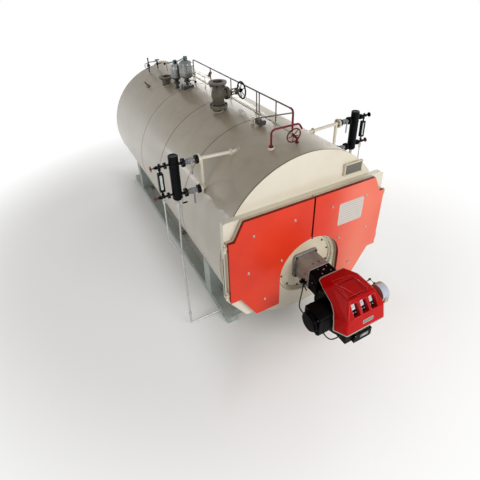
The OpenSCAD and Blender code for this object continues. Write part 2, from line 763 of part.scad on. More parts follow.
// Gas block under the hood
module burner_gas_block() color("gray") translate([block_x, front - 1000, burner_z - block_low]) difference() {
    cube([block_w, 126, 125]);
    translate([block_w * 0.35, -1, 30]) cube([block_w * 0.5, 11, 62]);
}

// Two cable loops, each held at both ends: points sideways, before the front face, and about the burner axis
module burner_cables() color("black") translate([0, front, burner_z]) {
    top_x = burner_side - volute_w / 2 - motor_len + 40;
    upper = [[-duct_w / 2, 300, -62], [-200, 300, -62], [-236, 328, -222], [-318, 375, -335],
             [top_x, fan_out - motor_w / 2 - 60, -290], [top_x, fan_out - motor_w / 2, -290]];
    lower = [[-250, 780, -fan_drop - motor_w / 2], [-250, 780, -420], [-218, 880, -462], [-176, 940, -356],
             [block_x - base_w, 940, -356]];
    for (path = [upper, lower]) pipe([for (p = path) [p[0], -p[1], p[2]]], cable_d);
}

// Steam outlets

// Nozzle on the crown with its flange; t is the height of its face above the axis
module nozzle(x, y, face, d, bore, flange_d, pcd, holes, hole_d) translate([x, front + y, 0]) difference() {
    union() {
        translate([0, 0, axis_height + casing_r * 0.8]) cylinder(d = d, h = face - casing_r * 0.8);
        translate([0, 0, axis_height + face - flange_plate_t]) flange(flange_d, flange_plate_t, bore, pcd, holes, hole_d);
    }
    translate([-x, -front - y, 0]) casing_room();
    translate([0, 0, axis_height]) cylinder(d = bore, h = face + 1);
}

module steam_nozzles() color("gray") {
    nozzle(-valve_left, valve_y, valve_seat_z, valve_bore_d + 20, valve_bore_d, valve_flange_d, valve_pcd,
           valve_bolts, valve_hole_d);
    nozzle(-rear_nozzle_left, rear_nozzle_y, rear_nozzle_z, valve_bore_d + 30, valve_bore_d, valve_flange_d,
           valve_pcd, valve_bolts, valve_hole_d);
}

// Globe body between its two flanges, with the branch for the bonnet to the right
module stop_valve_body() color("gray") translate([-valve_left, front + valve_y, valve_face]) {
    mid = valve_mid - valve_face;
    neck_r = valve_bore_d / 2 + 10;
    belly_r = neck_r + 24;
    difference() {
        union() {
            rotate_extrude($fn = 64) polygon([[0, 0], [neck_r, 0], [neck_r, 52], [neck_r + 7, 78],
                [belly_r - 6, mid - 46], [belly_r, mid - 14], [belly_r - 1, mid + 14], [belly_r - 9, mid + 46],
                [neck_r + 9, mid + 78], [neck_r + 5, mid + 104], [neck_r + 5, valve_h], [0, valve_h]]);
            flange(valve_flange_d, flange_plate_t, valve_bore_d, valve_pcd, valve_bolts, valve_hole_d);
            translate([0, 0, valve_h - flange_plate_t])
                flange(valve_flange_d, flange_plate_t, valve_bore_d, valve_pcd, valve_bolts, valve_hole_d);
            translate([0, 0, mid]) rotate([0, 90, 0]) cylinder(d1 = 156, d2 = 138, h = bonnet_out - 20);
            translate([bonnet_out - 20, 0, mid]) rotate([0, 90, 0]) cylinder(d = bonnet_d, h = 20);
        }
        translate([0, 0, -1]) cylinder(d = valve_bore_d, h = 60);
        translate([0, 0, valve_h - 60]) cylinder(d = valve_bore_d, h = 61);
    }
}

// Bonnet cover with its neck, two yoke arms, the bridge and the stem
module stop_valve_bonnet() color("gray") translate([-valve_left, front + valve_y, valve_mid]) rotate([0, 90, 0]) {
    bridge = bonnet_out + 150;
    wheel = valve_wheel_x + valve_left;
    translate([0, 0, bonnet_out]) cylinder(d = bonnet_d, h = 20);
    translate([0, 0, bonnet_out + 20]) cylinder(d1 = 112, d2 = 62, h = 36);
    for (s = [-1, 1]) {
        rod([s * 22, 0, bonnet_out + 50], [s * 38, 0, bonnet_out + 80], 17);
        rod([s * 38, 0, bonnet_out + 80], [s * 38, 0, bridge + 4], 17);
        translate([s * 38, 0, bonnet_out + 80]) sphere(d = 20);
    }
    translate([0, 0, bridge]) cylinder(d = 96, h = 16);
    translate([0, 0, bridge + 16]) cylinder(d1 = 50, d2 = 40, h = wheel - bridge - 32);
    translate([0, 0, bonnet_out + 50]) cylinder(d = valve_stem_d, h = wheel + 28 - bonnet_out - 50);
    translate([0, 0, wheel + 16]) cylinder(d = 34, h = 12, $fn = 6);
}

module stop_valve_handwheel() color("black") translate([valve_wheel_x, front + valve_y, valve_mid])
    rotate([0, 90, 0]) handwheel(valve_wheel_d, 21, 6, 56, 30, valve_stem_d + 2 * hub_clear, 18);

// One safety valve standing on Z = 0: inlet neck, flange pair, bell, cap and lifting lever
module safety_valve(d, h, turn) {
    rotate_extrude() polygon([[0, 0], [26, 0], [26, 52], [52, 52], [52, 66], [50, 66], [50, 80], [30, 80], [34, 104],
        [d * 0.28, 118], [d * 0.40, 138], [d * 0.475, 168], [d / 2, 205], [d / 2, h - 78], [d * 0.46, h - 46],
        [d * 0.36, h - 20], [d * 0.25, h - 4], [29, h + 4], [29, h + 54], [22, h + 60], [0, h + 60]]);
    rotate([0, 0, turn]) {
        rod([0, 0, h + 38], [-150, 0, h - 4], 16);
        rod([-150, 0, h - 4], [-178, 0, h - 6], 22);
    }
}

// Two safety valves: the front one on its base plate, a smaller one behind it on its own stub
module safety_valves() color("silver") {
    y = front + seam_3 - safety_before_seam;
    top = axis_height + casing_r + safety_base_h;
    x2 = -safety_left - safety_side;
    y2 = y + safety_pitch;
    difference() {
        union() {
            translate([-safety_left - 90, y - 62, crown(safety_left + 90) - 12])
                cube([180, 124, top - crown(safety_left + 90) + 12]);
            translate([-safety_left, y, top]) safety_valve(safety_d, 408, 10);
            translate([x2, y2, crown(x2) - 12]) cylinder(d = 76, h = 32);
            translate([x2, y2, crown(x2) + 20]) safety_valve(safety_d * 0.72, 380, -40);
        }
        casing_room();
    }
}

// Crown fittings

module vent_pipe() color("darkred") {
    y = front + vent_y;
    z0 = crown(vent_left);
    z1 = axis_height + casing_r + 190;
    tilt = [-sin(vent_tilt), 0, cos(vent_tilt)];
    seat_end = vent_wheel - 72 * tilt;
    difference() {
        union() {
            pipe([[-vent_left, y, z0 - 20], [-vent_left, y, z1 - 40], [-vent_left + 40, y, z1], [90, y, z1],
                  [140, y, z1 - 72]], vent_d, 1.1);
            translate([-vent_left, y, z0 - 20]) cylinder(d = 60, h = 40);
            translate([seat_end[0], seat_end[1], axis_height + casing_r - 20])
                cylinder(d = 26, h = seat_end[2] - axis_height - casing_r + 20);
            translate(seat_end) sphere(d = 44);
            rod(seat_end, vent_wheel + 16 * tilt, vent_stem_d);
        }
        casing_room();
    }
}

module vent_handwheel() color("darkred") translate(vent_wheel) rotate([0, -vent_tilt, 0])
    handwheel(vent_wheel_d, 16, 5, 36, 24, vent_stem_d + 2 * hub_clear);

// Handrail beside the crown with its posts and the stay at the front
module handrail() color("dimgray") {
    z = axis_height + casing_r + rail_h;
    y0 = front + rail_front;
    y1 = front + rail_rear;
    feet = [0, 368, 778, 848, 1608, 2345, rail_rear - rail_front];
    difference() {
        union() {
            rod([rail_right, y0, z], [rail_right, y1, z], rail_d);
            for (y = feet) rod([rail_right, y0 + y, crown(rail_right) - 20], [rail_right, y0 + y, z],
                               y == 0 ? rail_d * 1.3 : rail_d * 0.8);
            for (y = [y0, y1]) translate([rail_right, y, z]) sphere(d = rail_d * 1.5);
            rod([rail_right, y0, z - 12], [stay_x, front + stay_y, axis_height + casing_r + 60], rail_d * 0.8);
            translate([stay_x, front + stay_y, crown(stay_x) - 20]) cylinder(d = 30, h = 96);
            translate([rail_right - 20, y0 - 10, crown(rail_right) - 12]) cube([40, y1 - y0 + 20, 20]);
        }
        casing_room();
    }
}

// Pressure switch on its stub, with two screwed plugs on top
module pressure_switch() color("dimgray") translate([-110, front + switch_y, axis_height + casing_r]) {
    difference() {
        union() {
            translate([0, 0, 18]) cube([90, 120, 50]);
            translate([45, 60, -10]) cylinder(d = 32, h = 30);
        }
        translate([110, -front - switch_y, -axis_height - casing_r]) casing_room();
    }
    for (y = [40, 85]) translate([62, y, 67]) cylinder(d = 17, h = 26);
}

// A small stop valve standing on Z = 0 with a fixed wheel towards a direction
module small_valve(h, wheel_d, turn) {
    cylinder(d = 34, h = 14);
    cylinder(d = 22, h = h);
    translate([0, 0, h]) {
        sphere(d = 54);
        rotate(turn) {
            cylinder(d = 30, h = 42);
            cylinder(d = 12, h = 74);
            translate([0, 0, 68]) handwheel(wheel_d, 10, 4, 20, 12, 10);
        }
    }
}

// Two small stop valves at the rear, joined by a pipe
module rear_valves() color("dimgray") difference() {
    y = rear - rear_valve_inset;
    x = -rear_valve_left;
    x2 = x + rear_valve_pitch;
    union() {
        translate([x, y, crown(x) - 12]) small_valve(165, 112, [90, 0, -35]);
        translate([x, y, crown(x) + 150]) cylinder(d = 22, h = 130);
        translate([x2, y, crown(x2) - 12]) small_valve(120, 96, [0, 0, 0]);
        rod([x, y, crown(x) + 205], [x2, y, crown(x) + 205], 16);
        rod([x2, y, crown(x2) + 108], [x2 + 82, y, crown(x2) + 108], 16);
        translate([x, y, crown(x) + 278]) cylinder(d = 34, h = 8);
    }
    casing_room();
}

// Lifting lugs at the rear, each with its pad on the cladding
module lifting_lugs() color("ivory") for (s = [-1, 1])
    translate([0, rear - lug_rear, axis_height]) rotate([0, s * lug_angle, 0]) difference() {
        union() {
            translate([-12, -38, casing_r + seat]) cube([24, 76, 70]);
            translate([-12, 0, casing_r + seat + 70]) rotate([0, 90, 0]) cylinder(d = 76, h = 24);
            translate([-30, -55, casing_r - 12]) cube([60, 110, 22]);
        }
        translate([-13, 0, casing_r + 68]) rotate([0, 90, 0]) cylinder(d = 42, h = 26);
        rotate([90, 0, 0]) cylinder(r = casing_r + seat, h = 300, center = true, $fn = 360);
    }

// Water gauges

// Cream pipes from the casing to the flanges of the gauge valves; s is -1 on the left and 1 on the right
module gauge_pipe_set(s) {
    y = front + gauge_y;
    difference() {
        union() {
            for (z = [gauge_low, gauge_high]) {
                rod([s * tee_x, y, axis_height + z], [s * gauge_face, y, axis_height + z], gauge_pipe_d);
                rod([s * 500, y, axis_height + z - (z > 0 ? pipe_fall : 0)], [s * tee_x, y, axis_height + z], gauge_pipe_d);
                translate([s * tee_x, y, axis_height + z]) sphere(d = gauge_pipe_d * 1.25);
                rod([s * (gauge_face - gauge_flange_t), y, axis_height + z], [s * gauge_face, y, axis_height + z],
                    gauge_flange_d);
            }
            rod([s * tee_x, y, axis_height + gauge_low], [s * tee_x, y, axis_height + gauge_high], gauge_pipe_d);
        }
        casing_room();
    }
}

module gauge_pipes() color("ivory") for (s = [-1, 1]) gauge_pipe_set(s);

// Lever valve along X from x = 0 to x = len, between its flanges and counterflanges, with its lever down
module gauge_valve(len) {
    t = gauge_flange_t;
    for (x = [1, t + 4, len - 2 * t - 4, len - t - 1]) translate([x, 0, 0]) rotate([0, 90, 0])
        cylinder(d = gauge_flange_d, h = t);
    for (a = [45 : 90 : 315]) for (x = [0, len - 2 * t - 5]) translate([x, 37 * cos(a), 37 * sin(a)])
        rotate([0, 90, 0]) cylinder(d = 12, h = 2 * t + 6);
    rotate([0, 90, 0]) cylinder(d = 44, h = len);
    translate([len / 2, 0, 0]) rotate([0, 90, 0]) cylinder(d = 66, h = 64, center = true);
    translate([len / 2, 0, 0]) rotate([90, 0, 0]) cylinder(d = 26, h = 52);
    translate([len / 2 - 9, -56, -142]) cube([18, 6, 154]);
}

// Column, glass frame between its two cocks, and the lever valves towards the casing
module gauge_set(s) {
    low = gauge_low + cock_rise_low;
    high = gauge_high + cock_rise_high;
    valve_len = column_x - column_d / 2 - gauge_face - 34;
    translate([0, front + gauge_y, axis_height]) mirror([s < 0 ? 1 : 0, 0, 0]) {
        translate([column_x, 0, 0]) rotate_extrude($fn = 64) polygon([[0, column_low - 8], [28, column_low],
            [46, column_low + 12], [column_d / 2, column_low + 30], [column_d / 2, column_high - 4],
            [column_d / 2 - 4, column_high], [column_d / 2 - 12, column_high], [column_d / 2 - 14, column_high - 5],
            [0, column_high - 5]]);
        for (z = [gauge_low, gauge_high]) translate([gauge_face, 0, z]) {
            gauge_valve(valve_len);
            translate([valve_len - 1, 0, 0]) rotate([0, 90, 0]) cylinder(d = 34, h = 42);
        }
        for (z = [low, high]) translate([0, 0, z]) {
            rod([column_x + column_d / 2 - 8, 0, 0], [glass_x + 24, 0, 0], 24);
            rod([glass_x - 78, 0, 0], [glass_x - 66, 0, 0], 74);
            rod([glass_x - 64, 0, 0], [glass_x - 52, 0, 0], 74);
            rod([glass_x - 66.5, 0, 0], [glass_x - 63.5, 0, 0], 46);
            rod([glass_x - 24, 0, 0], [glass_x + 26, 0, 0], 38);
            rod([glass_x + 25, 0, 0], [glass_x + 56, 0, 0], 26);
            rod([glass_x + 55, 0, 0], [cock_wheel_x + 12, 0, 0], cock_stem_d);
        }
        translate([glass_x, 0, high]) cylinder(d = 26, h = 36);
        rod([glass_x, 0, low], [glass_x, 0, high], 20);
        for (z = [low + 26, high - 46]) translate([glass_x, 0, z]) cylinder(d = 34, h = 20, $fn = 6);
        difference() {
            translate([glass_x, 0, (low + high) / 2]) rotate([90, 0, 0]) linear_extrude(44, center = true)
                round_box(glass_w, glass_h, 8);
            for (y = [-22, 22]) translate([glass_x, y, (low + high) / 2]) rotate([90, 0, 0])
                linear_extrude(20, center = true) round_box(glass_w - 28, glass_h - 44, 10);
        }
    }
}

module gauge_sets() color("black") for (s = [-1, 1]) gauge_set(s);

// Handwheel of a gauge cock, on its stem
module cock_wheel(s, z) translate([s * cock_wheel_x, front + gauge_y, axis_height + z]) rotate([0, 90, 0])
    handwheel(cock_wheel_d, 9, 4, 22, 14, cock_stem_d + 2 * hub_clear);

module gauge_wheel_left_upper() color("firebrick") cock_wheel(-1, gauge_high + cock_rise_high);
module gauge_wheel_left_lower() color("firebrick") cock_wheel(-1, gauge_low + cock_rise_low);
module gauge_wheel_right_upper() color("dimgray") cock_wheel(1, gauge_high + cock_rise_high);
module gauge_wheel_right_lower() color("firebrick") cock_wheel(1, gauge_low + cock_rise_low);

// Galvanised drains from the gauge sets down to the skid, each with its lever valve and union
module drain_pipes() color("silver") for (s = [-1, 1]) {
    y = front + gauge_y;
    top = axis_height + column_low - 8;
    glass_low = axis_height + gauge_low + cock_rise_low - 19;
    knee = [s * (column_x + 37), y, axis_height - 280];
    foot_y = front + drain_foot;
    foot = [s * drain_x, foot_y, beam_h / 2];
    rise = foot + 0.12 * (knee - foot);
    pipe([[s * column_x, y, top], [s * column_x, y, top - 18], [s * (column_x + 4), y, top - 110], knee, foot,
          [s * skid_width / 2, foot_y, beam_h / 2]], drain_d);
    rod([s * (column_x + 1), y, top - 34], [s * (column_x + 3), y, top - 80], 36);
    translate([s * (column_x + 2), y, top - 57]) mirror([s > 0 ? 1 : 0, 0, 0]) {
        rotate([0, 90, 0]) cylinder(d = 16, h = 40);
        translate([34, -6, -6]) cube([80, 12, 12]);
    }
    rod(rise, rise + 44 * (knee - foot) / norm(knee - foot), 38);
    rod([s * (skid_width / 2 + 12), foot_y, beam_h / 2], [s * skid_width / 2, foot_y, beam_h / 2], 40);
    pipe([[s * glass_x, y, glass_low], [s * glass_x, y, glass_low - 70], [s * (glass_x + 8), y, axis_height + 60], knee],
         drain_d * 0.75);
    rod([s * glass_x, y, glass_low - 26], [s * glass_x, y, glass_low - 60], 28);
}

// Plates

module nameplate() color("dimgray") translate([505, front - 34, axis_height + 716]) cube([275, 34, 155]);

module instruction_plate() color("white") translate([385, door_face - 2, axis_height + 105]) cube([385, 2, 320]);

skid_beams();
skid_cross_members();
saddles();
pressure_shell();
front_tube_plate();
casing_section_1();
casing_section_2();
casing_section_3();
casing_section_4();
front_cover_plate();
rear_cover_plate();
rear_access_cover();
flue_outlet();
smoke_box_frame();
door_left();
door_right();
burner_plate();
burner_duct();
burner_body();
burner_motor();
burner_hood();
burner_hood_rim();
burner_servo();
burner_gas_block();
burner_cables();
steam_nozzles();
stop_valve_body();
stop_valve_bonnet();
stop_valve_handwheel();
safety_valves();
vent_pipe();
vent_handwheel();
handrail();
pressure_switch();
rear_valves();
lifting_lugs();
gauge_pipes();
gauge_sets();
gauge_wheel_left_upper();
gauge_wheel_left_lower();
gauge_wheel_right_upper();
gauge_wheel_right_lower();
drain_pipes();
nameplate();
instruction_plate();
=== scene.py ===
"""Industrial fire-tube boiler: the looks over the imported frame.

Metres, Z up. +Y runs from the burner to the rear, and the origin is on the floor under the casing's middle.
"""

import json
import math

import bpy
import numpy as np
from mathutils import Matrix, Vector

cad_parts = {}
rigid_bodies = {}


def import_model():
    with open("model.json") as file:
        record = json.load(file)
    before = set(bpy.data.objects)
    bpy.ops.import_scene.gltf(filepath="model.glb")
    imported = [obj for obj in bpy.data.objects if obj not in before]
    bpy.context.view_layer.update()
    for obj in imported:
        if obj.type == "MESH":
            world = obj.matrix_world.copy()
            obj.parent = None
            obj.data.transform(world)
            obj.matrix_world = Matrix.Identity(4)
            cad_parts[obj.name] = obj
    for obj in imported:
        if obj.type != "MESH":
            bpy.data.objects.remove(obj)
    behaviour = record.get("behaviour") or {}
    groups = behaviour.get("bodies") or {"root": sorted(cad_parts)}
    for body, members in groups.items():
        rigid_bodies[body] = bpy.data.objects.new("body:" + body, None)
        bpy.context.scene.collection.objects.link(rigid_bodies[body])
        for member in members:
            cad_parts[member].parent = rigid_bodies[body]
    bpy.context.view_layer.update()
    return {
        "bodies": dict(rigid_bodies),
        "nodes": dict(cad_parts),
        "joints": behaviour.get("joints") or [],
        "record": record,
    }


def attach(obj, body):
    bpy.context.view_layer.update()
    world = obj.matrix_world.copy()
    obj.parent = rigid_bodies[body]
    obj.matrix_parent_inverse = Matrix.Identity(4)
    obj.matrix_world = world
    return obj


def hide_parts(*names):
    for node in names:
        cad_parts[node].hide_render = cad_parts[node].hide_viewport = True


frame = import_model()
node = frame["nodes"]

# Sizes of the boiler, as in the solids
CASING_R = 1.15
CASING_LEN = 4.92
FRONT = -CASING_LEN / 2
REAR = CASING_LEN / 2
AXIS_Z = 1.30
BURNER_Z = 0.915
DOOR_FACE_Y = FRONT - 0.147
SEAMS = (1.183, 2.161, 3.098)
DOOR_HALF = 1.110
GAUGE_Y = FRONT + 0.727
TOP = AXIS_Z + CASING_R

RIGHT, LEFT, BACK, FORE, UP, DOWN = (1, 0, 0), (-1, 0, 0), (0, 1, 0), (0, -1, 0), (0, 0, 1), (0, 0, -1)
SIDES = ((-1, "left"), (1, "right"))

# Camera, from the photograph's perspective
CAM_PLACE = (-2.42614, -5.41505, 4.28068)
CAM_YAW = 0.48240
CAM_PITCH = 0.54423
CAM_ROLL = -0.02731
CAM_LENS = 28.713
CAM_SHIFT_Y = -0.1073


def make_camera():
    """Looks along (sin yaw cos pitch, cos yaw cos pitch, -sin pitch), rolled about that line."""
    yaw, pitch, roll = CAM_YAW, CAM_PITCH, CAM_ROLL
    ahead = Vector((math.sin(yaw) * math.cos(pitch), math.cos(yaw) * math.cos(pitch), -math.sin(pitch)))
    right = Vector((math.cos(yaw), -math.sin(yaw), 0.0))
    up = right.cross(ahead)
    right, up = right * math.cos(roll) + up * math.sin(roll), up * math.cos(roll) - right * math.sin(roll)
    data = bpy.data.cameras.new("camera")
    data.lens, data.sensor_width, data.shift_y = CAM_LENS, 36.0, CAM_SHIFT_Y
    data.clip_start, data.clip_end = 0.05, 100.0
    cam = bpy.data.objects.new("camera", data)
    turn = Matrix((right, up, -ahead)).transposed().to_4x4()
    cam.matrix_world = Matrix.Translation(CAM_PLACE) @ turn
    bpy.context.scene.collection.objects.link(cam)
    bpy.context.scene.camera = cam


make_camera()


# Shader graphs

def linear(*srgb):
    """The linear colour of an sRGB colour given in 0 to 255."""
    c = np.array(srgb, float) / 255
    c = np.where(c <= 0.04045, c / 12.92, ((c + 0.055) / 1.055) ** 2.4)
    return tuple(float(v) for v in c) + (1.0,)


class Wire:
    """A value socket in an expression: each operator adds one Math node."""

    def __init__(self, finish, socket):
        self.finish, self.socket = finish, socket

    def math(self, operation, a, b=0.0):
        return self.finish.add("ShaderNodeMath", {"operation": operation}, {0: a, 1: b})

    def __add__(self, other):
        return self.math("ADD", self, other)

    __radd__ = __add__

    def __mul__(self, other):
        return self.math("MULTIPLY", self, other)

    __rmul__ = __mul__

    def __sub__(self, other):
        return self.math("SUBTRACT", self, other)

    def __rsub__(self, other):
        return self.math("SUBTRACT", other, self)

    def __pow__(self, other):
        return self.math("POWER", self, other)

    def size(self):
        return self.math("ABSOLUTE", self)

    def lower(self, other):
        return self.math("MINIMUM", self, other)

    def higher(self, other):
        return self.math("MAXIMUM", self, other)

    def step(self, start, end):
        """0 at start, 1 at end, smooth between."""
        return self.finish.add("ShaderNodeMapRange", {"interpolation_type": "SMOOTHSTEP"},
                               {"Value": self, "From Min": start, "From Max": end})


class Finish:
    """A material and the one method that adds its nodes."""

    def __init__(self, name):
        self.material = bpy.data.materials.new(name)
        self.material.use_nodes = True
        self.tree = self.material.node_tree
        self.shader = self.tree.nodes["Principled BSDF"]
        self.place = self.add("ShaderNodeTexCoord", {}, {}, "Object")

    def add(self, kind, settings, inputs, out=0):
        """Adds one node: its settings first, then the values or wires of its sockets."""
        new = self.tree.nodes.new(kind)
        for key, value in settings.items():
            setattr(new, key, value)
        self.feed(new, inputs)
        return Wire(self, new.outputs[out])

    def feed(self, new, inputs):
        for key, value in inputs.items():
            if isinstance(value, Wire):
                self.tree.links.new(value.socket, new.inputs[key])
            else:
                new.inputs[key].default_value = value

    def noise(self, scale, detail, roughness=0.55, stretch=(1.0, 1.0, 1.0)):
        """Fractal noise on Object coordinates, stretched along the axes."""
        spot = self.add("ShaderNodeMapping", {}, {"Vector": self.place, "Scale": stretch})
        return self.add("ShaderNodeTexNoise", {}, {"Vector": spot, "Scale": scale, "Detail": detail,
                                                   "Roughness": roughness})

    def axis(self, letter):
        """One of the Object coordinates, in metres."""
        return self.add("ShaderNodeSeparateXYZ", {}, {0: self.place}, letter)

    def facing(self, letter):
        """One part of the surface's normal."""
        normal = self.add("ShaderNodeNewGeometry", {}, {}, "Normal")
        return self.add("ShaderNodeSeparateXYZ", {}, {0: normal}, letter)

    def mix(self, mask, a, b):
        """Colour a where the mask is 0 and b where it is 1; three numbers are an sRGB colour in 0 to 255."""
        a, b = (linear(*c) if isinstance(c, tuple) and len(c) == 3 else c for c in (a, b))
        return self.add("ShaderNodeMix", {"data_type": "RGBA"}, {0: mask, 6: a, 7: b}, 2)

    def tones(self, pattern, a, b):
        """Colours a and b in the low and high parts of a pattern."""
        return self.mix(pattern.step(0.3, 0.7), a, b)

    def bump(self, height, strength, distance):
        return self.add("ShaderNodeBump", {}, {"Height": height, "Strength": strength, "Distance": distance})

    def done(self, **sockets):
        names = {"colour": "Base Color", "rough": "Roughness", "metal": "Metallic", "normal": "Normal",
                 "coat": "Coat Weight", "coat_rough": "Coat Roughness", "ior": "IOR"}
        self.feed(self.shader, {names[k]: v for k, v in sockets.items()})
        return self.material


def paint(name, colour, shade, rough, mottle, coat=0.0, dust=0.0, dirt=0.0, relief=0.05, ior=1.45):
    """Sprayed paint: slow drift of tone, orange peel, dust on what faces up and dirt near the floor."""
    f = Finish(name)
    tone = f.noise(mottle, 4.0).step(0.32, 0.68)
    base = f.mix(tone, colour, shade)
    fine = f.noise(38.0, 5.0, 0.7)
    if dust:
        up_facing_mask = f.facing("Z").step(0.35, 1.0) * f.noise(6.0, 5.0, 0.65).step(0.35, 0.75) * dust
        base = f.mix(up_facing_mask, base, (196, 186, 166))
    if dirt:
        low = (1.0 - f.axis("Z").step(0.0, 0.45)) * fine.step(0.35, 0.7) * dirt
        base = f.mix(low, base, (74, 68, 58))
    peeled = f.noise(260.0, 2.0)
    return f.done(colour=base, rough=rough + (fine - 0.5) * 0.16, normal=f.bump(peeled, relief, 0.002),
                  coat=coat, coat_rough=0.12, ior=ior)


def metal(name, colour, shade, rough, metallic, relief=0.12):
    """Bare or galvanised metal: spangled tone with a fine grain."""
    f = Finish(name)
    tone = f.noise(14.0, 5.0, 0.7).step(0.3, 0.7)
    fine = f.noise(60.0, 4.0, 0.6)
    return f.done(colour=f.mix(tone, colour, shade), metal=metallic, rough=rough + (fine - 0.5) * 0.22,
                  normal=f.bump(fine, relief, 0.001))


def casting(name, colour, shade, metallic):
    """Sand-cast surface: pitted skin with darker hollows."""
    f = Finish(name)
    skin = f.noise(120.0, 6.0, 0.7)
    tone = f.noise(9.0, 4.0, 0.6).step(0.3, 0.7)
    pits = f.noise(45.0, 3.0, 0.5).step(0.42, 0.62)
    base = f.mix(pits * 0.4, f.mix(tone, colour, shade), shade)
    return f.done(colour=base, metal=metallic, rough=0.62 + (skin - 0.5) * 0.2,
                  normal=f.bump(skin, 0.16, 0.0010))


def between(value, low, high, soft=0.001):
    """1 where the value lies between two bounds, else 0."""
    return value.step(low - soft, low + soft) * (1.0 - value.step(high - soft, high + soft))


def casing_paint(name, colour, shade):
    """Cream gloss paint on rolled sheet: faint waves, the crown darkened with dust and painted shade, dirt low down
    and along the seams.
    """
    f = Finish(name)
    base = f.tones(f.noise(0.7, 4.0), colour, shade)
    fine = f.noise(30.0, 5.0, 0.7)
    # Painted shade with dust: surfaces facing up are darkened towards brown, partly dust, partly the shade on the
    # crown.
    up_facing_mask = f.facing("Z").step(0.30, 0.95)
    base = f.mix(up_facing_mask * (0.58 + 0.22 * f.noise(3.0, 5.0, 0.65).step(0.3, 0.75)), base, (151, 133, 102))
    y = f.axis("Y")
    for seam in SEAMS:
        near = 1.0 - (y - (FRONT + seam)).size().step(0.0, 0.030)
        base = f.mix(near * fine.step(0.35, 0.8) * 0.30, base, (122, 106, 82))
    low = (1.0 - f.axis("Z").step(0.15, 0.75)) * fine.step(0.4, 0.75) * 0.28
    base = f.mix(low, base, (120, 110, 92))
    waves = f.noise(1.6, 2.0, 0.5, (1.0, 0.35, 1.0))
    height = waves * 0.85 + f.noise(240.0, 2.0) * 0.15
    return f.done(colour=base, rough=0.30 + up_facing_mask * 0.16 + (fine - 0.5) * 0.14, coat=0.3, coat_rough=0.12,
                  normal=f.bump(height, 0.10, 0.004))


def door_paint(name):
    """Orange-red enamel on the faces, lightened on the right door by a painted sheen; dark red as painted shade on
    the front of the edges, cream behind it and on the hinges.
    """
    f = Finish(name)
    base = f.tones(f.noise(1.4, 4.0), (224, 58, 30), (212, 50, 25))
    fine = f.noise(44.0, 5.0, 0.7)
    base = f.mix(fine.step(0.62, 0.8) * 0.15, base, (236, 96, 66))
    x, y = f.axis("X"), f.axis("Y")
    # Painted sheen: the right door is lightened towards pale salmon, standing in for the reflection of light on it.
    right_door_sheen = x.step(0.10, 0.80) * (0.46 + 0.24 * f.noise(1.1, 3.0).step(0.3, 0.7))
    base = f.mix(right_door_sheen, base, (240, 142, 118))
    edge = y.step(DOOR_FACE_Y + 0.0006, DOOR_FACE_Y + 0.0014)
    # Painted shade: the front of the door's edges is dark red, standing in for the shade on them; the cream behind it
    # and on the hinges is their colour.
    edge_shade_and_cream = f.mix(f.noise(60.0, 4.0, 0.7).step(0.35, 0.65), (138, 24, 12), (112, 18, 10))
    hinge = x.size().step(DOOR_HALF + 0.001, DOOR_HALF + 0.003)
    deep = y.step(DOOR_FACE_Y + 0.038, DOOR_FACE_Y + 0.041).higher(hinge)
    edge_shade_and_cream = f.mix(deep, edge_shade_and_cream, f.tones(fine, (216, 204, 180), (190, 176, 148)))
    peeled = f.noise(230.0, 2.0) * 0.3 + f.noise(5.0, 3.0) * 0.7
    return f.done(colour=f.mix(edge, base, edge_shade_and_cream), rough=0.34 + edge * 0.3 + (fine - 0.5) * 0.14,
                  coat=0.10 - edge * 0.10, coat_rough=0.15, ior=1.30, normal=f.bump(peeled, 0.10, 0.003))


def hood_plastic(name):
    """Deep red moulded plastic with a faint grain, its edges rounded in the shading."""
    f = Finish(name)
    base = f.tones(f.noise(3.0, 4.0), (184, 8, 8), (168, 5, 6))
    fine = f.noise(70.0, 4.0, 0.6)
    dust = f.facing("Z").step(0.6, 1.0) * f.noise(8.0, 5.0, 0.7).step(0.5, 0.85) * 0.03
    base = f.mix(dust, base, (200, 90, 80))
    rounded = f.add("ShaderNodeBevel", {"samples": 8}, {"Radius": 0.024})
    grain = f.add("ShaderNodeBump", {}, {"Height": fine * 0.2 + f.noise(9.0, 2.0) * 0.8, "Strength": 0.04,
                                         "Distance": 0.002, "Normal": rounded})
    return f.done(colour=base, rough=0.30 + (fine - 0.5) * 0.10, ior=1.14, coat=0.06, coat_rough=0.08,
                  normal=grain)


def gauge_iron(name):
    """Black enamel on the columns and cocks; the lever valves next to the casing are bare grey iron."""
    f = Finish(name)
    side = f.axis("X").size()
    grey = between(side, 1.070, 1.194)
    skin = f.noise(110.0, 5.0, 0.7)
    dark = f.tones(f.noise(9.0, 4.0), (6, 8, 10), (12, 14, 17))
    bare = f.mix(skin.step(0.35, 0.65), (158, 154, 146), (104, 98, 92))
    return f.done(colour=f.mix(grey, dark, bare), rough=0.34 + grey * 0.22 + (skin - 0.5) * 0.16,
                  metal=grey * 0.5,
                  ior=1.18, normal=f.bump(skin, 0.16, 0.001))


def rail_paint(name):
    """Brown-grey rail; the front post with its bend is dark red and the strip at the foot is pale."""
    f = Finish(name)
    fine = f.noise(80.0, 4.0, 0.6)
    base = f.tones(f.noise(7.0, 4.0), (112, 98, 88), (92, 80, 72))
    post = (1.0 - f.axis("Y").step(FRONT + 0.590, FRONT + 0.606)) * f.axis("X").step(0.138, 0.142)
    base = f.mix(post, base, f.tones(fine, (122, 22, 32), (100, 16, 25)))
    low = 1.0 - f.axis("Z").step(2.448, 2.452)
    base = f.mix(low, base, (196, 188, 172))
    return f.done(colour=base, rough=0.42 + (fine - 0.5) * 0.2, ior=1.32, normal=f.bump(fine, 0.12, 0.001))


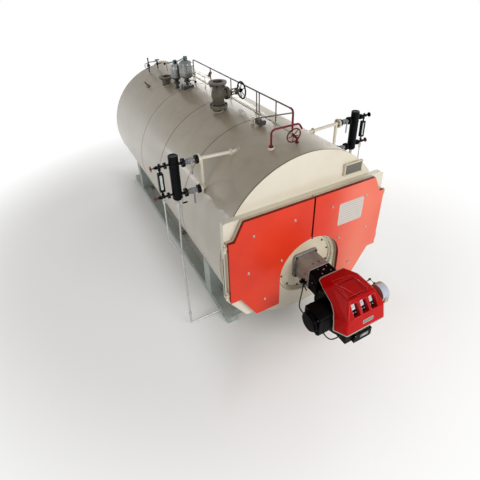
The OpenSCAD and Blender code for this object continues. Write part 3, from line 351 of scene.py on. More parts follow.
def plate_face(name, low, high, edge, face, line, rows):
    """A plate with a rim of one colour and a bare face of another, ruled with faint empty rows."""
    f = Finish(name)
    x, z = f.axis("X"), f.axis("Z")
    inside = between(x, low[0], high[0]) * between(z, low[1], high[1])
    fine = f.noise(90.0, 4.0, 0.6)
    grid = (z - low[1]) * (rows / (high[1] - low[1]))
    share = f.add("ShaderNodeMath", {"operation": "FRACT"}, {0: grid})
    rule = between(share, 0.36, 0.58, 0.02) * between(x, low[0] + 0.012, high[0] - 0.012)
    worn = f.mix(fine.step(0.35, 0.7), face, tuple(c * 0.82 for c in linear(*face)[:3]) + (1.0,))
    return f.done(colour=f.mix(inside, edge, f.mix(rule * 0.6, worn, line)), rough=0.36 + (fine - 0.5) * 0.2,
                  coat=0.2, normal=f.bump(fine, 0.06, 0.0006))


def stub_paint(name):
    """Dark red vent pipe whose foot on the crown is cream."""
    f = Finish(name)
    fine = f.noise(60.0, 4.0, 0.6)
    base = f.tones(fine, (124, 20, 32), (102, 15, 26))
    foot = (1.0 - f.axis("Z").step(2.436, 2.440)) * (1.0 - f.axis("X").step(-0.22, -0.21))
    return f.done(colour=f.mix(foot, base, (214, 204, 182)), rough=0.34 + (fine - 0.5) * 0.18, ior=1.3,
                  normal=f.bump(fine, 0.10, 0.001))


def safety_silver(name):
    """Aluminium paint on the bells, teal on the caps; neck, flanges and base plate are black."""
    f = Finish(name)
    z = f.axis("Z")
    cap = 2.883 - 0.079 * f.axis("Y").step(FRONT + 3.150, FRONT + 3.160)
    skin = f.noise(90.0, 5.0, 0.7)
    pale = f.tones(f.noise(7.0, 4.0), (150, 152, 149), (110, 112, 111))
    black = 1.0 - z.step(2.576, 2.584)
    dark = f.tones(skin, (34, 33, 32), (58, 54, 50))
    capped = z.step(cap, cap + 0.001)
    colour = f.mix(capped, f.mix(black, pale, dark), (44, 92, 100))
    return f.done(colour=colour, metal=0.7 - (black * 0.5).higher(capped * 0.6),
                  rough=0.30 + black * 0.2 + (skin - 0.5) * 0.2, normal=f.bump(skin, 0.10, 0.001))


cream = paint("cream_paint", (227, 220, 203), (217, 209, 190), rough=0.32, mottle=0.9, coat=0.3,
              dust=0.15, dirt=0.25, relief=0.035)
# Painted shade: a darker, warmer copy of the cream paint for the burner plate, standing in for the shade it lies in
# behind the duct.
shaded_disc_cream = paint("burner_plate_shaded_paint", (216, 205, 180), (202, 189, 160), rough=0.34, mottle=1.6,
                   coat=0.2, dust=0.1, dirt=0.2, relief=0.04)
# Painted shade: the casing's cream is a darker copy of the cream paint, standing in for the shade the casing lies in.
shaded_casing_cream = casing_paint("shaded_casing_cream_paint", (201, 195, 182), (190, 184, 171))
door_red = door_paint("door_red_paint")
frame_blue = paint("skid_paint", (174, 183, 179), (158, 167, 163), rough=0.5, mottle=3.0, dust=0.25,
                   dirt=0.35)
black_paint = paint("black_paint", (4, 4, 5), (8, 8, 9), rough=0.30, mottle=8.0, ior=1.11)
hood_red = hood_plastic("hood_red_plastic")
# Painted highlight: a lighter red than the hood, for the window frames and the panel's beads, standing in for the
# light on their edges.
hood_window = paint("hood_highlight_red_plastic", (208, 44, 42), (190, 28, 28), rough=0.3, mottle=9.0, ior=1.3)
flange_rust = paint("flange_edge_brown", (112, 101, 87), (84, 73, 61), rough=0.6, mottle=18.0)
switch_brown = paint("switch_housing_brown", (76, 69, 62), (58, 52, 47), rough=0.5, mottle=20.0, dust=0.1,
                     ior=1.3)
dark_red = paint("dark_red_paint", (120, 18, 26), (98, 13, 21), rough=0.36, mottle=6.0, ior=1.3)
vent_red = stub_paint("vent_red_paint")
rail_brown = rail_paint("rail_paint")
silver = safety_silver("silver_paint")
teal = paint("teal_paint", (52, 104, 112), (42, 88, 96), rough=0.4, mottle=12.0)
rim_grey = paint("pale_rim_plastic", (190, 182, 166), (172, 164, 148), rough=0.4, mottle=9.0)
servo_olive = paint("servo_olive_plastic", (176, 170, 152), (160, 154, 136), rough=0.42, mottle=6.0)
servo_blue = paint("servo_cover_plastic", (186, 190, 206), (172, 177, 194), rough=0.24, mottle=5.0, coat=0.3)
zinc = metal("galvanised_steel", (206, 206, 203), (184, 185, 183), rough=0.42, metallic=0.55, relief=0.05)
bare_steel = metal("bare_steel", (110, 108, 106), (84, 80, 76), rough=0.55, metallic=0.8)
dark_steel = metal("blackened_bolts", (58, 54, 50), (36, 34, 32), rough=0.48, metallic=0.7)
bright_steel = metal("bright_screws", (186, 184, 178), (150, 148, 142), rough=0.30, metallic=0.9)
valve_grey = casting("valve_cast_iron", (90, 84, 72), (70, 63, 54), metallic=0.10)
duct_grey = casting("duct_cast_grey", (158, 144, 137), (134, 121, 113), metallic=0.20)
flange_grey = casting("flange_cast_grey", (148, 152, 156), (118, 122, 126), metallic=0.25)
seam_brown = paint("seam_brown", (104, 86, 62), (84, 68, 48), rough=0.7, mottle=20.0)
gasket_dark = paint("gasket_graphite", (44, 40, 36), (60, 54, 48), rough=0.75, mottle=40.0)
rubber = paint("cable_rubber", (14, 14, 15), (22, 22, 23), rough=0.5, mottle=30.0, ior=1.3)
# Painted shade: near black for the flank slots, the window backs and the lug eyes, standing in for the shade inside
# them; the instrument needles are black.
recess_shade_and_needle_black = paint("recess_shade_and_needle_black_paint", (9, 7, 8), (15, 12, 13), rough=0.7, mottle=20.0, ior=1.2)
dial_white = paint("instrument_white", (214, 218, 220), (196, 202, 206), rough=0.25, mottle=30.0, coat=0.4)
dial_face = paint("instrument_face", (190, 200, 208), (176, 188, 196), rough=0.25, mottle=30.0, coat=0.4)
dial_grey = paint("instrument_grey", (122, 128, 132), (104, 110, 116), rough=0.3, mottle=30.0)
gauge_black = gauge_iron("gauge_black_enamel")
plate_white = plate_face("bare_white_plate", (0.391, 1.411), (0.764, 1.719), (196, 194, 188),
                         (210, 202, 194), (140, 136, 133), 9)
plate_dark = plate_face("bare_dark_plate", (0.520, 2.031), (0.765, 2.156), (206, 196, 172),
                        (88, 85, 76), (138, 136, 126), 7)


def glass_finish():
    """Thick pale gauge glass: clear with a light body colour."""
    f = Finish("gauge_glass")
    haze = f.noise(30.0, 3.0)
    return f.done(colour=f.tones(haze, (206, 214, 208), (184, 194, 188)), rough=0.06,
                  coat=0.6, coat_rough=0.03)


pale_glass = glass_finish()

FINISHES = {
    frame_blue: "skid_beams skid_cross_members saddles",
    bare_steel: "pressure_shell front_tube_plate",
    shaded_casing_cream: "casing_section_1 casing_section_2 casing_section_3 casing_section_4",
    cream: "front_cover_plate rear_cover_plate rear_access_cover flue_outlet smoke_box_frame gauge_pipes",
    door_red: "door_left door_right",
    shaded_disc_cream: "burner_plate",
    duct_grey: "burner_duct",
    black_paint: "burner_body burner_motor burner_gas_block stop_valve_handwheel gauge_wheel_right_upper",
    hood_red: "burner_hood",
    rim_grey: "burner_hood_rim",
    servo_olive: "burner_servo",
    rubber: "burner_cables",
    valve_grey: "steam_nozzles stop_valve_body stop_valve_bonnet",
    silver: "safety_valves",
    vent_red: "vent_pipe",
    dark_red: "vent_handwheel gauge_wheel_left_upper gauge_wheel_left_lower gauge_wheel_right_lower",
    rail_brown: "handrail",
    switch_brown: "pressure_switch",
    dark_steel: "rear_valves",
    flange_rust: "lifting_lugs",
    gauge_black: "gauge_sets",
    zinc: "drain_pipes",
    plate_dark: "nameplate",
    plate_white: "instruction_plate",
}
for finish, names in FINISHES.items():
    for name in names.split():
        slots = node[name].data.materials
        slots.clear()
        slots.append(finish)


# Surfaces

class Shape:
    """Points and faces of a surface; faces of one size share an array."""

    def __init__(self, points, faces):
        self.points = np.asarray(points, float).reshape(-1, 3)
        self.faces = [np.asarray(f, int).reshape(-1, np.shape(f)[-1]) for f in faces if len(f)]

    def __add__(self, other):
        shift = len(self.points)
        return Shape(np.vstack((self.points, other.points)), self.faces + [f + shift for f in other.faces])

    def at(self, *place):
        return Shape(self.points + np.array(place, float), self.faces)

    def turned(self, axis):
        """Turned so that Z points along the axis."""
        spin = Vector((0, 0, 1)).rotation_difference(Vector(axis)).to_matrix()
        return Shape(self.points @ np.array(spin).T, self.faces)

    def spun(self, letter, degrees):
        """Turned about a coordinate axis."""
        spin = Matrix.Rotation(math.radians(degrees), 3, letter)
        return Shape(self.points @ np.array(spin).T, self.faces)

    def stretched(self, x, y, z):
        return Shape(self.points * (x, y, z), self.faces)

    def flipped(self, letter):
        """Mirrored across the plane at right angles to an axis, with its faces turned back outwards."""
        sign = np.array([-1.0 if c == letter else 1.0 for c in "XYZ"])
        return Shape(self.points * sign, [f[:, ::-1] for f in self.faces])

    def outward(self):
        """Its faces turned round if it is inside out, which the sign of its volume tells."""
        volume = 0.0
        for f in self.faces:
            p = self.points[f]
            for i in range(1, f.shape[1] - 1):
                volume += np.einsum("ij,ij->", p[:, 0], np.cross(p[:, i], p[:, i + 1]))
        return self if volume >= 0 else Shape(self.points, [f[:, ::-1] for f in self.faces])

    def sided(self, side):
        """Itself on the right, its mirror image on the left."""
        return self if side > 0 else self.flipped("X")

    def copies(self, places):
        """One copy at each place, all in one surface."""
        places = np.asarray(places, float).reshape(-1, 3)
        n, k = len(self.points), len(places)
        points = (places[:, None, :] + self.points[None, :, :]).reshape(-1, 3)
        jumps = (np.arange(k) * n)[:, None, None]
        return Shape(points, [(f[None] + jumps).reshape(-1, f.shape[-1]) for f in self.faces])


BEAD_SIDES = 8
BEND_STEPS = 7
SHARP_DEGREES = 35.0


def joined(parts):
    """All parts in one surface."""
    whole = Shape([], [])
    for part in parts:
        whole = whole + part
    return whole


def rings(stack):
    """A closed skin through rings of equally many points, the first and last closed by a face each."""
    stack = np.asarray(stack, float)
    m, n = stack.shape[:2]
    i, j = np.meshgrid(np.arange(m - 1), np.arange(n), indexing="ij")
    k = (j + 1) % n
    quads = np.stack((i * n + j, i * n + k, (i + 1) * n + k, (i + 1) * n + j), -1).reshape(-1, 4)
    low = np.arange(n)
    return Shape(stack, [quads, low[::-1][None], (low + (m - 1) * n)[None]]).outward()


def turned_part(profile, sides):
    """Surface of revolution: point (radius, height) of the profile goes round Z as (r cos a, r sin a, h)."""
    r, h = np.array(profile, float).T
    a = np.linspace(0, 2 * math.pi, sides, endpoint=False)
    stack = np.stack((r[:, None] * np.cos(a), r[:, None] * np.sin(a),
                      np.broadcast_to(h[:, None], (len(r), sides))), -1)
    return rings(stack)


def loop_stack(loops):
    """A skin through closed rows of points, the last row joined to the first, as round a frame."""
    stack = np.asarray(loops, float)
    m, n = stack.shape[:2]
    i, j = np.meshgrid(np.arange(m), np.arange(n), indexing="ij")
    i2, j2 = (i + 1) % m, (j + 1) % n
    quads = np.stack((i * n + j, i * n + j2, i2 * n + j2, i2 * n + j), -1).reshape(-1, 4)
    return Shape(stack, [quads]).outward()


def ring_part(profile, sides):
    """A closed profile of (radius, height) carried round Z into a ring."""
    r, h = np.array(profile, float).T
    a = np.linspace(0, 2 * math.pi, sides, endpoint=False)
    height = np.broadcast_to(h[:, None], (len(r), sides))
    return loop_stack(np.stack((r[:, None] * np.cos(a), r[:, None] * np.sin(a), height), -1))


def band(inner, outer, half, sides):
    """A flat ring of square section about Z."""
    return ring_part([(inner, -half), (outer, -half), (outer, half), (inner, half)], sides)


def bead(radius, thick, sides):
    """A torus about Z: its middle circle has the first radius."""
    a = np.linspace(0, 2 * math.pi, BEAD_SIDES, endpoint=False)
    return ring_part(np.stack((radius + thick * np.cos(a), thick * np.sin(a)), -1), sides)


def outline_inset(outline, amount):
    """Each point of a closed outline moved inwards along the mean of its two edges' normals."""
    p = np.asarray(outline, float)
    ahead, back = np.roll(p, -1, 0) - p, p - np.roll(p, 1, 0)
    n1 = np.stack((-ahead[:, 1], ahead[:, 0]), -1) / np.linalg.norm(ahead, axis=1)[:, None]
    n2 = np.stack((-back[:, 1], back[:, 0]), -1) / np.linalg.norm(back, axis=1)[:, None]
    m = n1 + n2
    return p + m * (2 * amount / (m * m).sum(1))[:, None]


def slab(outline, height, edge):
    """An outline in X and Y, counterclockwise, raised along Z, with small bevels at both ends."""
    inner = outline_inset(outline, edge)
    levels = ((inner, 0), (outline, edge), (outline, height - edge), (inner, height))
    return rings([np.column_stack((p, np.full(len(p), h))) for p, h in levels])


def rounded_outline(width, depth, radius, steps):
    """A rectangle about the origin with a quarter circle at each corner, counterclockwise."""
    a = np.linspace(0, math.pi / 2, steps)
    turns = np.concatenate([a + q * math.pi / 2 for q in range(4)])
    corner = np.repeat([(1, 1), (-1, 1), (-1, -1), (1, -1)], steps,
                       axis=0) * (width / 2 - radius, depth / 2 - radius)
    return corner + radius * np.stack((np.cos(turns), np.sin(turns)), -1)


def frame_part(outline, levels):
    """A frame carried along a closed outline: its profile's points are (distance inwards, height)."""
    return loop_stack([np.column_stack((outline_inset(outline, d), np.full(len(outline), h)))
                       for d, h in levels])


def block(width, depth, height, radius, edge):
    """A rounded block on the plane Z = 0."""
    return slab(rounded_outline(width, depth, radius, 4), height, edge)


def run(points, radius, sides, guide, smooth):
    """A round bar along a Catmull-Rom curve through the points; the radius may change from point to point."""
    p = np.asarray(points, float)
    r = np.broadcast_to(np.asarray(radius, float), len(p))
    data = np.column_stack((p, r))
    if smooth > 1:
        pad = np.vstack((2 * data[0] - data[1], data, 2 * data[-1] - data[-2]))
        t = np.linspace(0, 1, smooth, endpoint=False)[None, :, None]
        a, b, c, d = (pad[i:len(pad) - 3 + i][:, None, :] for i in range(4))
        square, cube = 2 * a - 5 * b + 4 * c - d, 3 * b - a - 3 * c + d
        curve = 0.5 * (2 * b + (c - a) * t + square * t ** 2 + cube * t ** 3)
        data = np.vstack((curve.reshape(-1, 4), data[-1:]))
    p, r = data[:, :3], data[:, 3]
    ahead = np.gradient(p, axis=0)
    ahead /= np.linalg.norm(ahead, axis=1)[:, None]
    side = np.cross(ahead, np.asarray(guide, float))
    side /= np.linalg.norm(side, axis=1)[:, None]
    up = np.cross(side, ahead)
    a = np.linspace(0, 2 * math.pi, sides, endpoint=False)[None, :, None]
    stack = p[:, None] + r[:, None, None] * (np.cos(a) * side[:, None] + np.sin(a) * up[:, None])
    return rings(stack[:, ::-1])


def bar(start, end, radius, sides, guide=UP):
    """A straight round bar."""
    return run((start, end), radius, sides, guide, 1)


def bent(points, bend):
    """A row of points whose corners are arcs of one radius, as a pipe bender leaves them."""
    p = np.asarray(points, float)
    out = [p[0]]
    for a, b, c in zip(p[:-2], p[1:-1], p[2:]):
        u, v = (a - b) / np.linalg.norm(a - b), (c - b) / np.linalg.norm(c - b)
        turn = math.acos(float(np.clip(-(u @ v), -1.0, 1.0)))
        centre = b + (u + v) / np.linalg.norm(u + v) * bend / math.cos(turn / 2)
        start, end = (b + w * bend * math.tan(turn / 2) - centre for w in (u, v))
        share = np.linspace(0, 1, BEND_STEPS)[:, None]
        out.extend(centre + (np.sin((1 - share) * turn) * start + np.sin(share * turn) * end) / math.sin(turn))
    out.append(p[-1])
    return np.array(out)


def loop_run(points, radius, guide):
    """A round bead along a closed row of points; the guide is the direction in which it stands up."""
    p, guide = np.asarray(points, float), np.asarray(guide, float)
    ahead = np.roll(p, -1, 0) - np.roll(p, 1, 0)
    ahead /= np.linalg.norm(ahead, axis=1)[:, None]
    side = np.cross(ahead, np.broadcast_to(guide, p.shape))
    side /= np.linalg.norm(side, axis=1)[:, None]
    up = np.cross(side, ahead)
    a = np.linspace(0, 2 * math.pi, BEAD_SIDES, endpoint=False)[None, :, None]
    grid = p[:, None] + radius * (np.cos(a) * side[:, None] + np.sin(a) * up[:, None])
    return loop_stack(grid)


def piece(name, shape, finish, body="root", slot=None):
    """Makes the Blender object of a surface and lets it ride on its body."""
    mesh = bpy.data.meshes.new(name)
    sizes = np.concatenate([np.full(len(f), f.shape[1]) for f in shape.faces])
    corners = np.concatenate([f.ravel() for f in shape.faces])
    mesh.vertices.add(len(shape.points))
    mesh.vertices.foreach_set("co", shape.points.astype(np.float32).ravel())
    mesh.loops.add(len(corners))
    mesh.loops.foreach_set("vertex_index", corners.astype(np.int32))
    mesh.polygons.add(len(sizes))
    mesh.polygons.foreach_set("loop_start", np.concatenate(([0], np.cumsum(sizes)[:-1])).astype(np.int32))
    mesh.update(calc_edges=True)
    mesh.validate()
    mesh.shade_smooth()
    mesh.set_sharp_from_angle(angle=math.radians(SHARP_DEGREES))
    mesh.materials.append(finish)
    thing = bpy.data.objects.new(name, mesh)
    bpy.context.scene.collection.objects.link(thing)
    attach(thing, body)
    return thing


# Fasteners

def nut(across):
    """A hexagon nut standing on Z = 0, its corners taken off at the top."""
    a = np.radians(np.arange(6) * 60 + 30)
    hexagon = np.stack((np.cos(a), np.sin(a)), -1) * across / math.sqrt(3)
    return slab(hexagon, across * 0.52, across * 0.05)


def washer(radius, thick=0.002):
    return turned_part([(radius * 0.98, 0), (radius, thick * 0.3), (radius, thick * 0.8),
                        (radius * 0.95, thick)], 20)


def stud_end(radius, height):
    """The end of a threaded stud: a short bar with a cone and two ring grooves."""
    g = radius * 0.88
    return turned_part([(g, 0), (radius, height * 0.2), (g, height * 0.35), (radius, height * 0.5),
                        (g, height * 0.65),
                        (radius, height * 0.8), (radius * 0.6, height)], 12)


def bolt(across, stand=0.004):
    """Washer, nut and stud end on Z = 0."""
    return washer(across * 0.68) + nut(across).at(0, 0, 0.002) + stud_end(across * 0.27, stand).at(0, 0, across * 0.5)


def circle(count, radius, phase=0.0):
    """Points on a circle in the plane Z = 0."""
    a = np.radians(phase + np.arange(count) * 360.0 / count)
    return np.stack((radius * np.cos(a), radius * np.sin(a), 0 * a), -1)


def four(x, y):
    """The corners of a rectangle about the origin."""
    return [(sx * x, sy * y) for sx in (-1, 1) for sy in (-1, 1)]


def on_front(part, spots, y):
    """Copies of a part on a face that looks forward, at places (x, z)."""
    return part.turned(FORE).copies([(x, y, z) for x, z in spots])


def crown(x):
    """Height of the casing's skin at a sideways place."""
    return AXIS_Z + math.sqrt(CASING_R ** 2 - x ** 2)


# Cables

def cable_line(route):
    """The line of a cable: a uniform cubic B-spline over the route's points, from its first to its last."""
    p = np.asarray(route, float)
    p = np.vstack((2 * p[0] - p[1], p, 2 * p[-1] - p[-2]))
    t = np.linspace(0, 1, 6, endpoint=False)[None, :, None]
    a, b, c, d = (p[i:len(p) - 3 + i][:, None, :] for i in range(4))
    near = (1 - t) ** 3 * a + (3 * t ** 3 - 6 * t ** 2 + 4) * b
    far = (1 + 3 * t + 3 * t ** 2 - 3 * t ** 3) * c + t ** 3 * d
    return np.vstack((((near + far) / 6).reshape(-1, 3), p[-2:-1]))


CABLE_D = 0.015
# Points sideways, before the casing's front face, and about the burner axis, as in the solids
UPPER_CABLE = ((-0.150, 0.300, -0.062), (-0.200, 0.300, -0.062), (-0.236, 0.328, -0.222),
               (-0.318, 0.375, -0.335),
               (-0.340, 0.520, -0.290), (-0.340, 0.580, -0.290))
LOWER_CABLE = ((-0.250, 0.780, -0.325), (-0.250, 0.780, -0.420), (-0.218, 0.880, -0.462),
               (-0.176, 0.940, -0.356),
               (-0.070, 0.940, -0.356))


def gland(place, axis):
    """Cable gland: a hexagon collar and a tapered rubber sleeve round the cable's end, along the axis."""
    sleeve = turned_part([(0.0125, 0.0), (0.0125, 0.006), (0.0105, 0.012), (0.0092, 0.040), (0.0086, 0.044)],
                         20)
    return (nut(0.026) + sleeve.at(0, 0, 0.011)).turned(axis).at(*place)


def cable(name, route, first_axis, last_axis):
    """A rubber cable held at both ends in glands."""
    line = cable_line([(x, FRONT - out, BURNER_Z + z) for x, out, z in route])
    skin = piece(name, run(line, CABLE_D / 2, 16, (0.3, 0.2, 1.0), 1), rubber, slot="black_rubber")
    glands = piece(name + "_glands", gland(line[0], first_axis) + gland(line[-1], last_axis), black_paint)
    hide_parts("burner_cables")


cable("burner_cable_upper", UPPER_CABLE, LEFT, BACK)
cable("burner_cable_lower", LOWER_CABLE, DOWN, LEFT)


# Casing

def pipe_weld(place, radius, bead_radius, side=0):
    """A weld bead round a pipe where it enters the casing: upright at (x, y), or level into one flank at (z, y)."""
    a = np.linspace(0, 2 * math.pi, 48, endpoint=False)
    along, y = place[0] + radius * np.cos(a), FRONT + place[1] + radius * np.sin(a)
    skin = np.sqrt(CASING_R ** 2 - along ** 2)
    if side:
        return loop_run(np.stack((side * skin, y, AXIS_Z + along), -1), bead_radius, (side, 0, 0))
    return loop_run(np.stack((along, y, AXIS_Z + skin), -1), bead_radius, UP)


def casing_trim():
    """Dark lap joints over the seams, the sealed edges of both discs, and weld beads round the pipes."""
    lap = [(CASING_R + r, h) for r, h in ((-0.004, -0.006), (0.0006, -0.005), (0.0011, 0.0), (0.0006, 0.005),
                                          (-0.004, 0.006))]
    joint, edge = ring_part(lap, 180), ring_part([(r + 0.0004, h) for r, h in lap], 180)
    rows = [(joint, y) for y in SEAMS] + [(edge, 0.0105), (edge, CASING_LEN - 0.0105)]
    piece("casing_joints", joined(part.turned(BACK).at(0, FRONT + y, AXIS_Z) for part, y in rows), seam_brown)
    upright = ((-0.24, 1.795, 0.0725), (-0.385, 3.617, 0.0775), (-0.28, 0.361, 0.030))
    beads = [pipe_weld((x, y), radius, 0.005) for x, y, radius in upright]
    beads += [pipe_weld((z, GAUGE_Y - FRONT), radius, thick, side) for side in (-1, 1)
              for z in (0.635, 1.0056)
              for radius, thick in ((0.021, 0.004), (0.036, 0.003))]
    piece("pipe_welds", joined(beads), cream, slot="shell_paint")


def rear_trim():
    """Bolts of the rear cover, and two lifting grips on it."""
    spots = circle(20, 0.58)[:, :2] + (0, AXIS_Z)
    bolts = bolt(0.024).turned(BACK).copies([(x, REAR + 0.0125, z) for x, z in spots])
    piece("rear_cover_bolts", bolts, dark_steel)
    line = [(-0.09, 0, 0), (-0.09, 0.045, 0), (-0.075, 0.060, 0), (0.075, 0.060, 0), (0.09, 0.045, 0),
            (0.09, 0, 0)]
    grips = run(line, 0.008, 14, UP, 6).copies([(0, REAR + 0.024, AXIS_Z + z) for z in (0.42, -0.42)])
    piece("rear_cover_grips", grips, black_paint)


# Smoke box

DOOR_STUDS = ((0.81, 1.72), (0.27, 1.73), (0.43, 1.21), (0.88, 1.215), (0.66, 0.70))


def door_trim():
    """Galvanised lining studs with pale washers, five on each door, the nuts of the hinge pins, and the plates'
    screws.
    """
    stud = nut(0.020) + stud_end(0.0065, 0.013).at(0, 0, 0.009)
    for side, name in SIDES:
        body = "door_" + name
        spots = [(side * x, z) for x, z in DOOR_STUDS]
        under = [(x + 0.004, z - 0.002) for x, z in spots]
        piece(body + "_washers", on_front(washer(0.017, 0.003), under, DOOR_FACE_Y), bright_steel, body)
        piece(body + "_studs", on_front(stud, spots, DOOR_FACE_Y - 0.002), zinc, body)
    pin = washer(0.014, 0.003) + nut(0.022).at(0, 0, 0.002)
    places = [(side * (DOOR_HALF + 0.030), FRONT - 0.111, AXIS_Z + z) for side in (-1, 1)
              for z in (0.3955, -0.3045)]
    piece("hinge_pin_nuts", pin.copies(places), cream)
    screw = washer(0.006, 0.002) + turned_part([(0.004, 0), (0.004, 0.002), (0.0015, 0.0045)],
                                               12).at(0, 0, 0.0015)
    for name, xs, zs, y, body in (
            ("instruction_plate_screws", (0.395, 0.760), (1.415, 1.715), DOOR_FACE_Y - 0.002, "door_right"),
            ("nameplate_screws", (0.512, 0.773), (2.023, 2.164), FRONT - 0.034, "root")):
        piece(name, on_front(screw, [(x, z) for x in xs for z in zs], y), bright_steel, body)


def smoke_box_trim():
    """Near-black slots in the flanks that paint the shade inside them, the ropes round the burner plate, and the
    screws of its frame ring.
    """
    slot = slab(rounded_outline(0.34, 0.012, 0.0055, 6), 0.0025, 0.0006).spun("Y", -90)
    slots = joined(slot.at(-1.1299, FRONT - 0.030, z).sided(-side) for side in (-1, 1) for z in (1.28, 1.05))
    piece("flank_slots", slots, recess_shade_and_needle_black)
    for name, radius, thick, out, finish in (("burner_plate_rope", 0.3895, 0.0032, 0.0445, gasket_dark),
                                             ("frame_ring_rope", 0.4185, 0.0045, 0.0795, seam_brown)):
        piece(name, bead(radius, thick, 160).turned(FORE).at(0, FRONT - out, BURNER_Z), finish)
    head = turned_part([(0.007, 0), (0.007, 0.003), (0.004, 0.006), (0.001, 0.0068)], 14)
    spots = circle(16, 0.430, 11.25)[:, :2] + (0, BURNER_Z)
    piece("frame_ring_screws", on_front(head, [s for s in spots if s[1] > BURNER_Z - 0.2], FRONT - 0.070),
          cream)


# Burner

def flange_trim():
    """Bolts of the round plate, bolts of the square flange, screws and cast ribs of the duct."""
    spots = circle(12, 0.360, 15)[:, :2] + (0, BURNER_Z)
    piece("burner_plate_bolts", on_front(bolt(0.019, 0.006), spots, FRONT - 0.040), dark_steel)
    face = FRONT - 0.066
    spots = [(x, BURNER_Z + z) for x, z in four(0.148, 0.148)]
    piece("burner_flange_bolts", on_front(bolt(0.024, 0.016), spots, face), dark_steel)
    sides = ((-0.05, 0.165), (0.05, 0.165), (-0.165, 0.05), (-0.165, -0.05), (0.165, 0.05), (0.165, -0.05))
    spots = [(x, BURNER_Z + z) for x, z in sides]
    piece("burner_flange_screws", on_front(bolt(0.010, 0.003), spots, face), dark_steel)
    lip = frame_part(rounded_outline(0.352, 0.352, 0.041, 6), ((0.0, -0.002), (0.0, 0.003), (0.004, 0.005),
                                                               (0.012, 0.005), (0.016, 0.003), (0.016, -0.002)))
    piece("burner_flange_lip", lip.turned(FORE).at(0, face, BURNER_Z), flange_grey, slot="cast_grey")
    half = 0.150
    ribs = []
    for x in (-0.055, 0.055):
        top = bar((x, FRONT - 0.068, half), (x, FRONT - 0.328, half), 0.005, 10)
        ribs += [top] + [top.spun("Y", turn) for turn in (-90, 90, 180)]
    ribs = [joined(ribs).at(0, 0, BURNER_Z)]
    web = slab([(0, 0), (0.030, 0), (0.0, 0.024)], 0.008, 0.0008).spun("X", 90).spun("Z", -90)
    for x in (-0.105, 0.0, 0.105):
        top = web.at(x + 0.004, -0.0005, half - 0.0005)
        ribs += [part.at(0, face, BURNER_Z) for part in (top, top.spun("Y", -90), top.spun("Y", 90))]
    piece("burner_duct_ribs", joined(ribs), duct_grey, slot="cast_grey")
    cap = turned_part([(0.009, 0), (0.009, 0.007), (0.0075, 0.009), (0.005, 0.009), (0.0045, 0.005)], 18)
    screws = cap.copies([(x, FRONT - 0.262, half) for x in (0.045, -0.045)])
    flank = cap.turned(LEFT).copies([(-half, FRONT - 0.262, z) for z in (0.045, -0.045)])
    piece("burner_duct_screws", (screws + flank).at(0, 0, BURNER_Z), dark_steel)
    gasket = frame_part(rounded_outline(0.316, 0.316, 0.035, 6),
                        ((0.0, -0.0015), (0.0, 0.0015), (0.004, 0.0025), (0.010, 0.0015), (0.010, -0.0015)))
    piece("burner_neck_gasket", gasket.turned(FORE).at(0, FRONT - 0.334, BURNER_Z), zinc)


def neck_trim():
    """Inspection cover with its clip on the neck, its screws, and the clamp with its levers on the left."""
    top, left, y = BURNER_Z + 0.150, -0.150, FRONT - 0.410
    cover = block(0.150, 0.100, 0.006, 0.010, 0.0015).at(0.01, y, top - 0.001)
    well = turned_part([(0.030, 0), (0.030, 0.004), (0.027, 0.006), (0.021, 0.006), (0.019, 0.0045)], 32)
    piece("burner_neck_cover", cover + well.at(0.0, y + 0.005, top + 0.004), black_paint, slot="black_paint")
    clip = block(0.032, 0.014, 0.006, 0.004, 0.001).spun("Z", 12).at(0.003, y + 0.005, top + 0.009)
    head = turned_part([(0.006, 0), (0.006, 0.003), (0.004, 0.005), (0.0015, 0.0055)], 14)
    screws = head.copies([(0.01 + dx, y + dy, top + 0.005) for dx, dy in four(0.064, 0.040)])
    piece("burner_neck_screws", clip + screws, bright_steel)
    knob = turned_part([(0.010, 0), (0.010, 0.010), (0.019, 0.014), (0.020, 0.022), (0.017, 0.028),
                        (0.006, 0.030)], 20)
    parts = ((block(0.060, 0.110, 0.008, 0.008, 0.0015).turned(LEFT), 0.001, 0.410, -0.010),
             (block(0.070, 0.060, 0.030, 0.008, 0.002).turned(LEFT), 0.001, 0.250, -0.095),
             (knob.turned((-1, 0, -0.2)), -0.028, 0.238, -0.080),
             (knob.stretched(0.7, 0.7, 0.8).turned((-0.6, 0, -0.8)), -0.015, 0.275, -0.122),
             (block(0.016, 0.100, 0.010, 0.006, 0.0015).turned(LEFT).spun("X", 35), -0.016, 0.300, -0.135))
    clamp = joined(part.at(left + dx, FRONT - out, BURNER_Z + dz) for part, dx, out, dz in parts)
    piece("burner_clamp", clamp, black_paint, slot="black_paint")
    spots = [(left - 0.006, y, BURNER_Z + 0.022), (left - 0.028, FRONT - 0.262, BURNER_Z - 0.104)]
    piece("burner_clamp_screws", head.turned(LEFT).copies(spots), bright_steel)


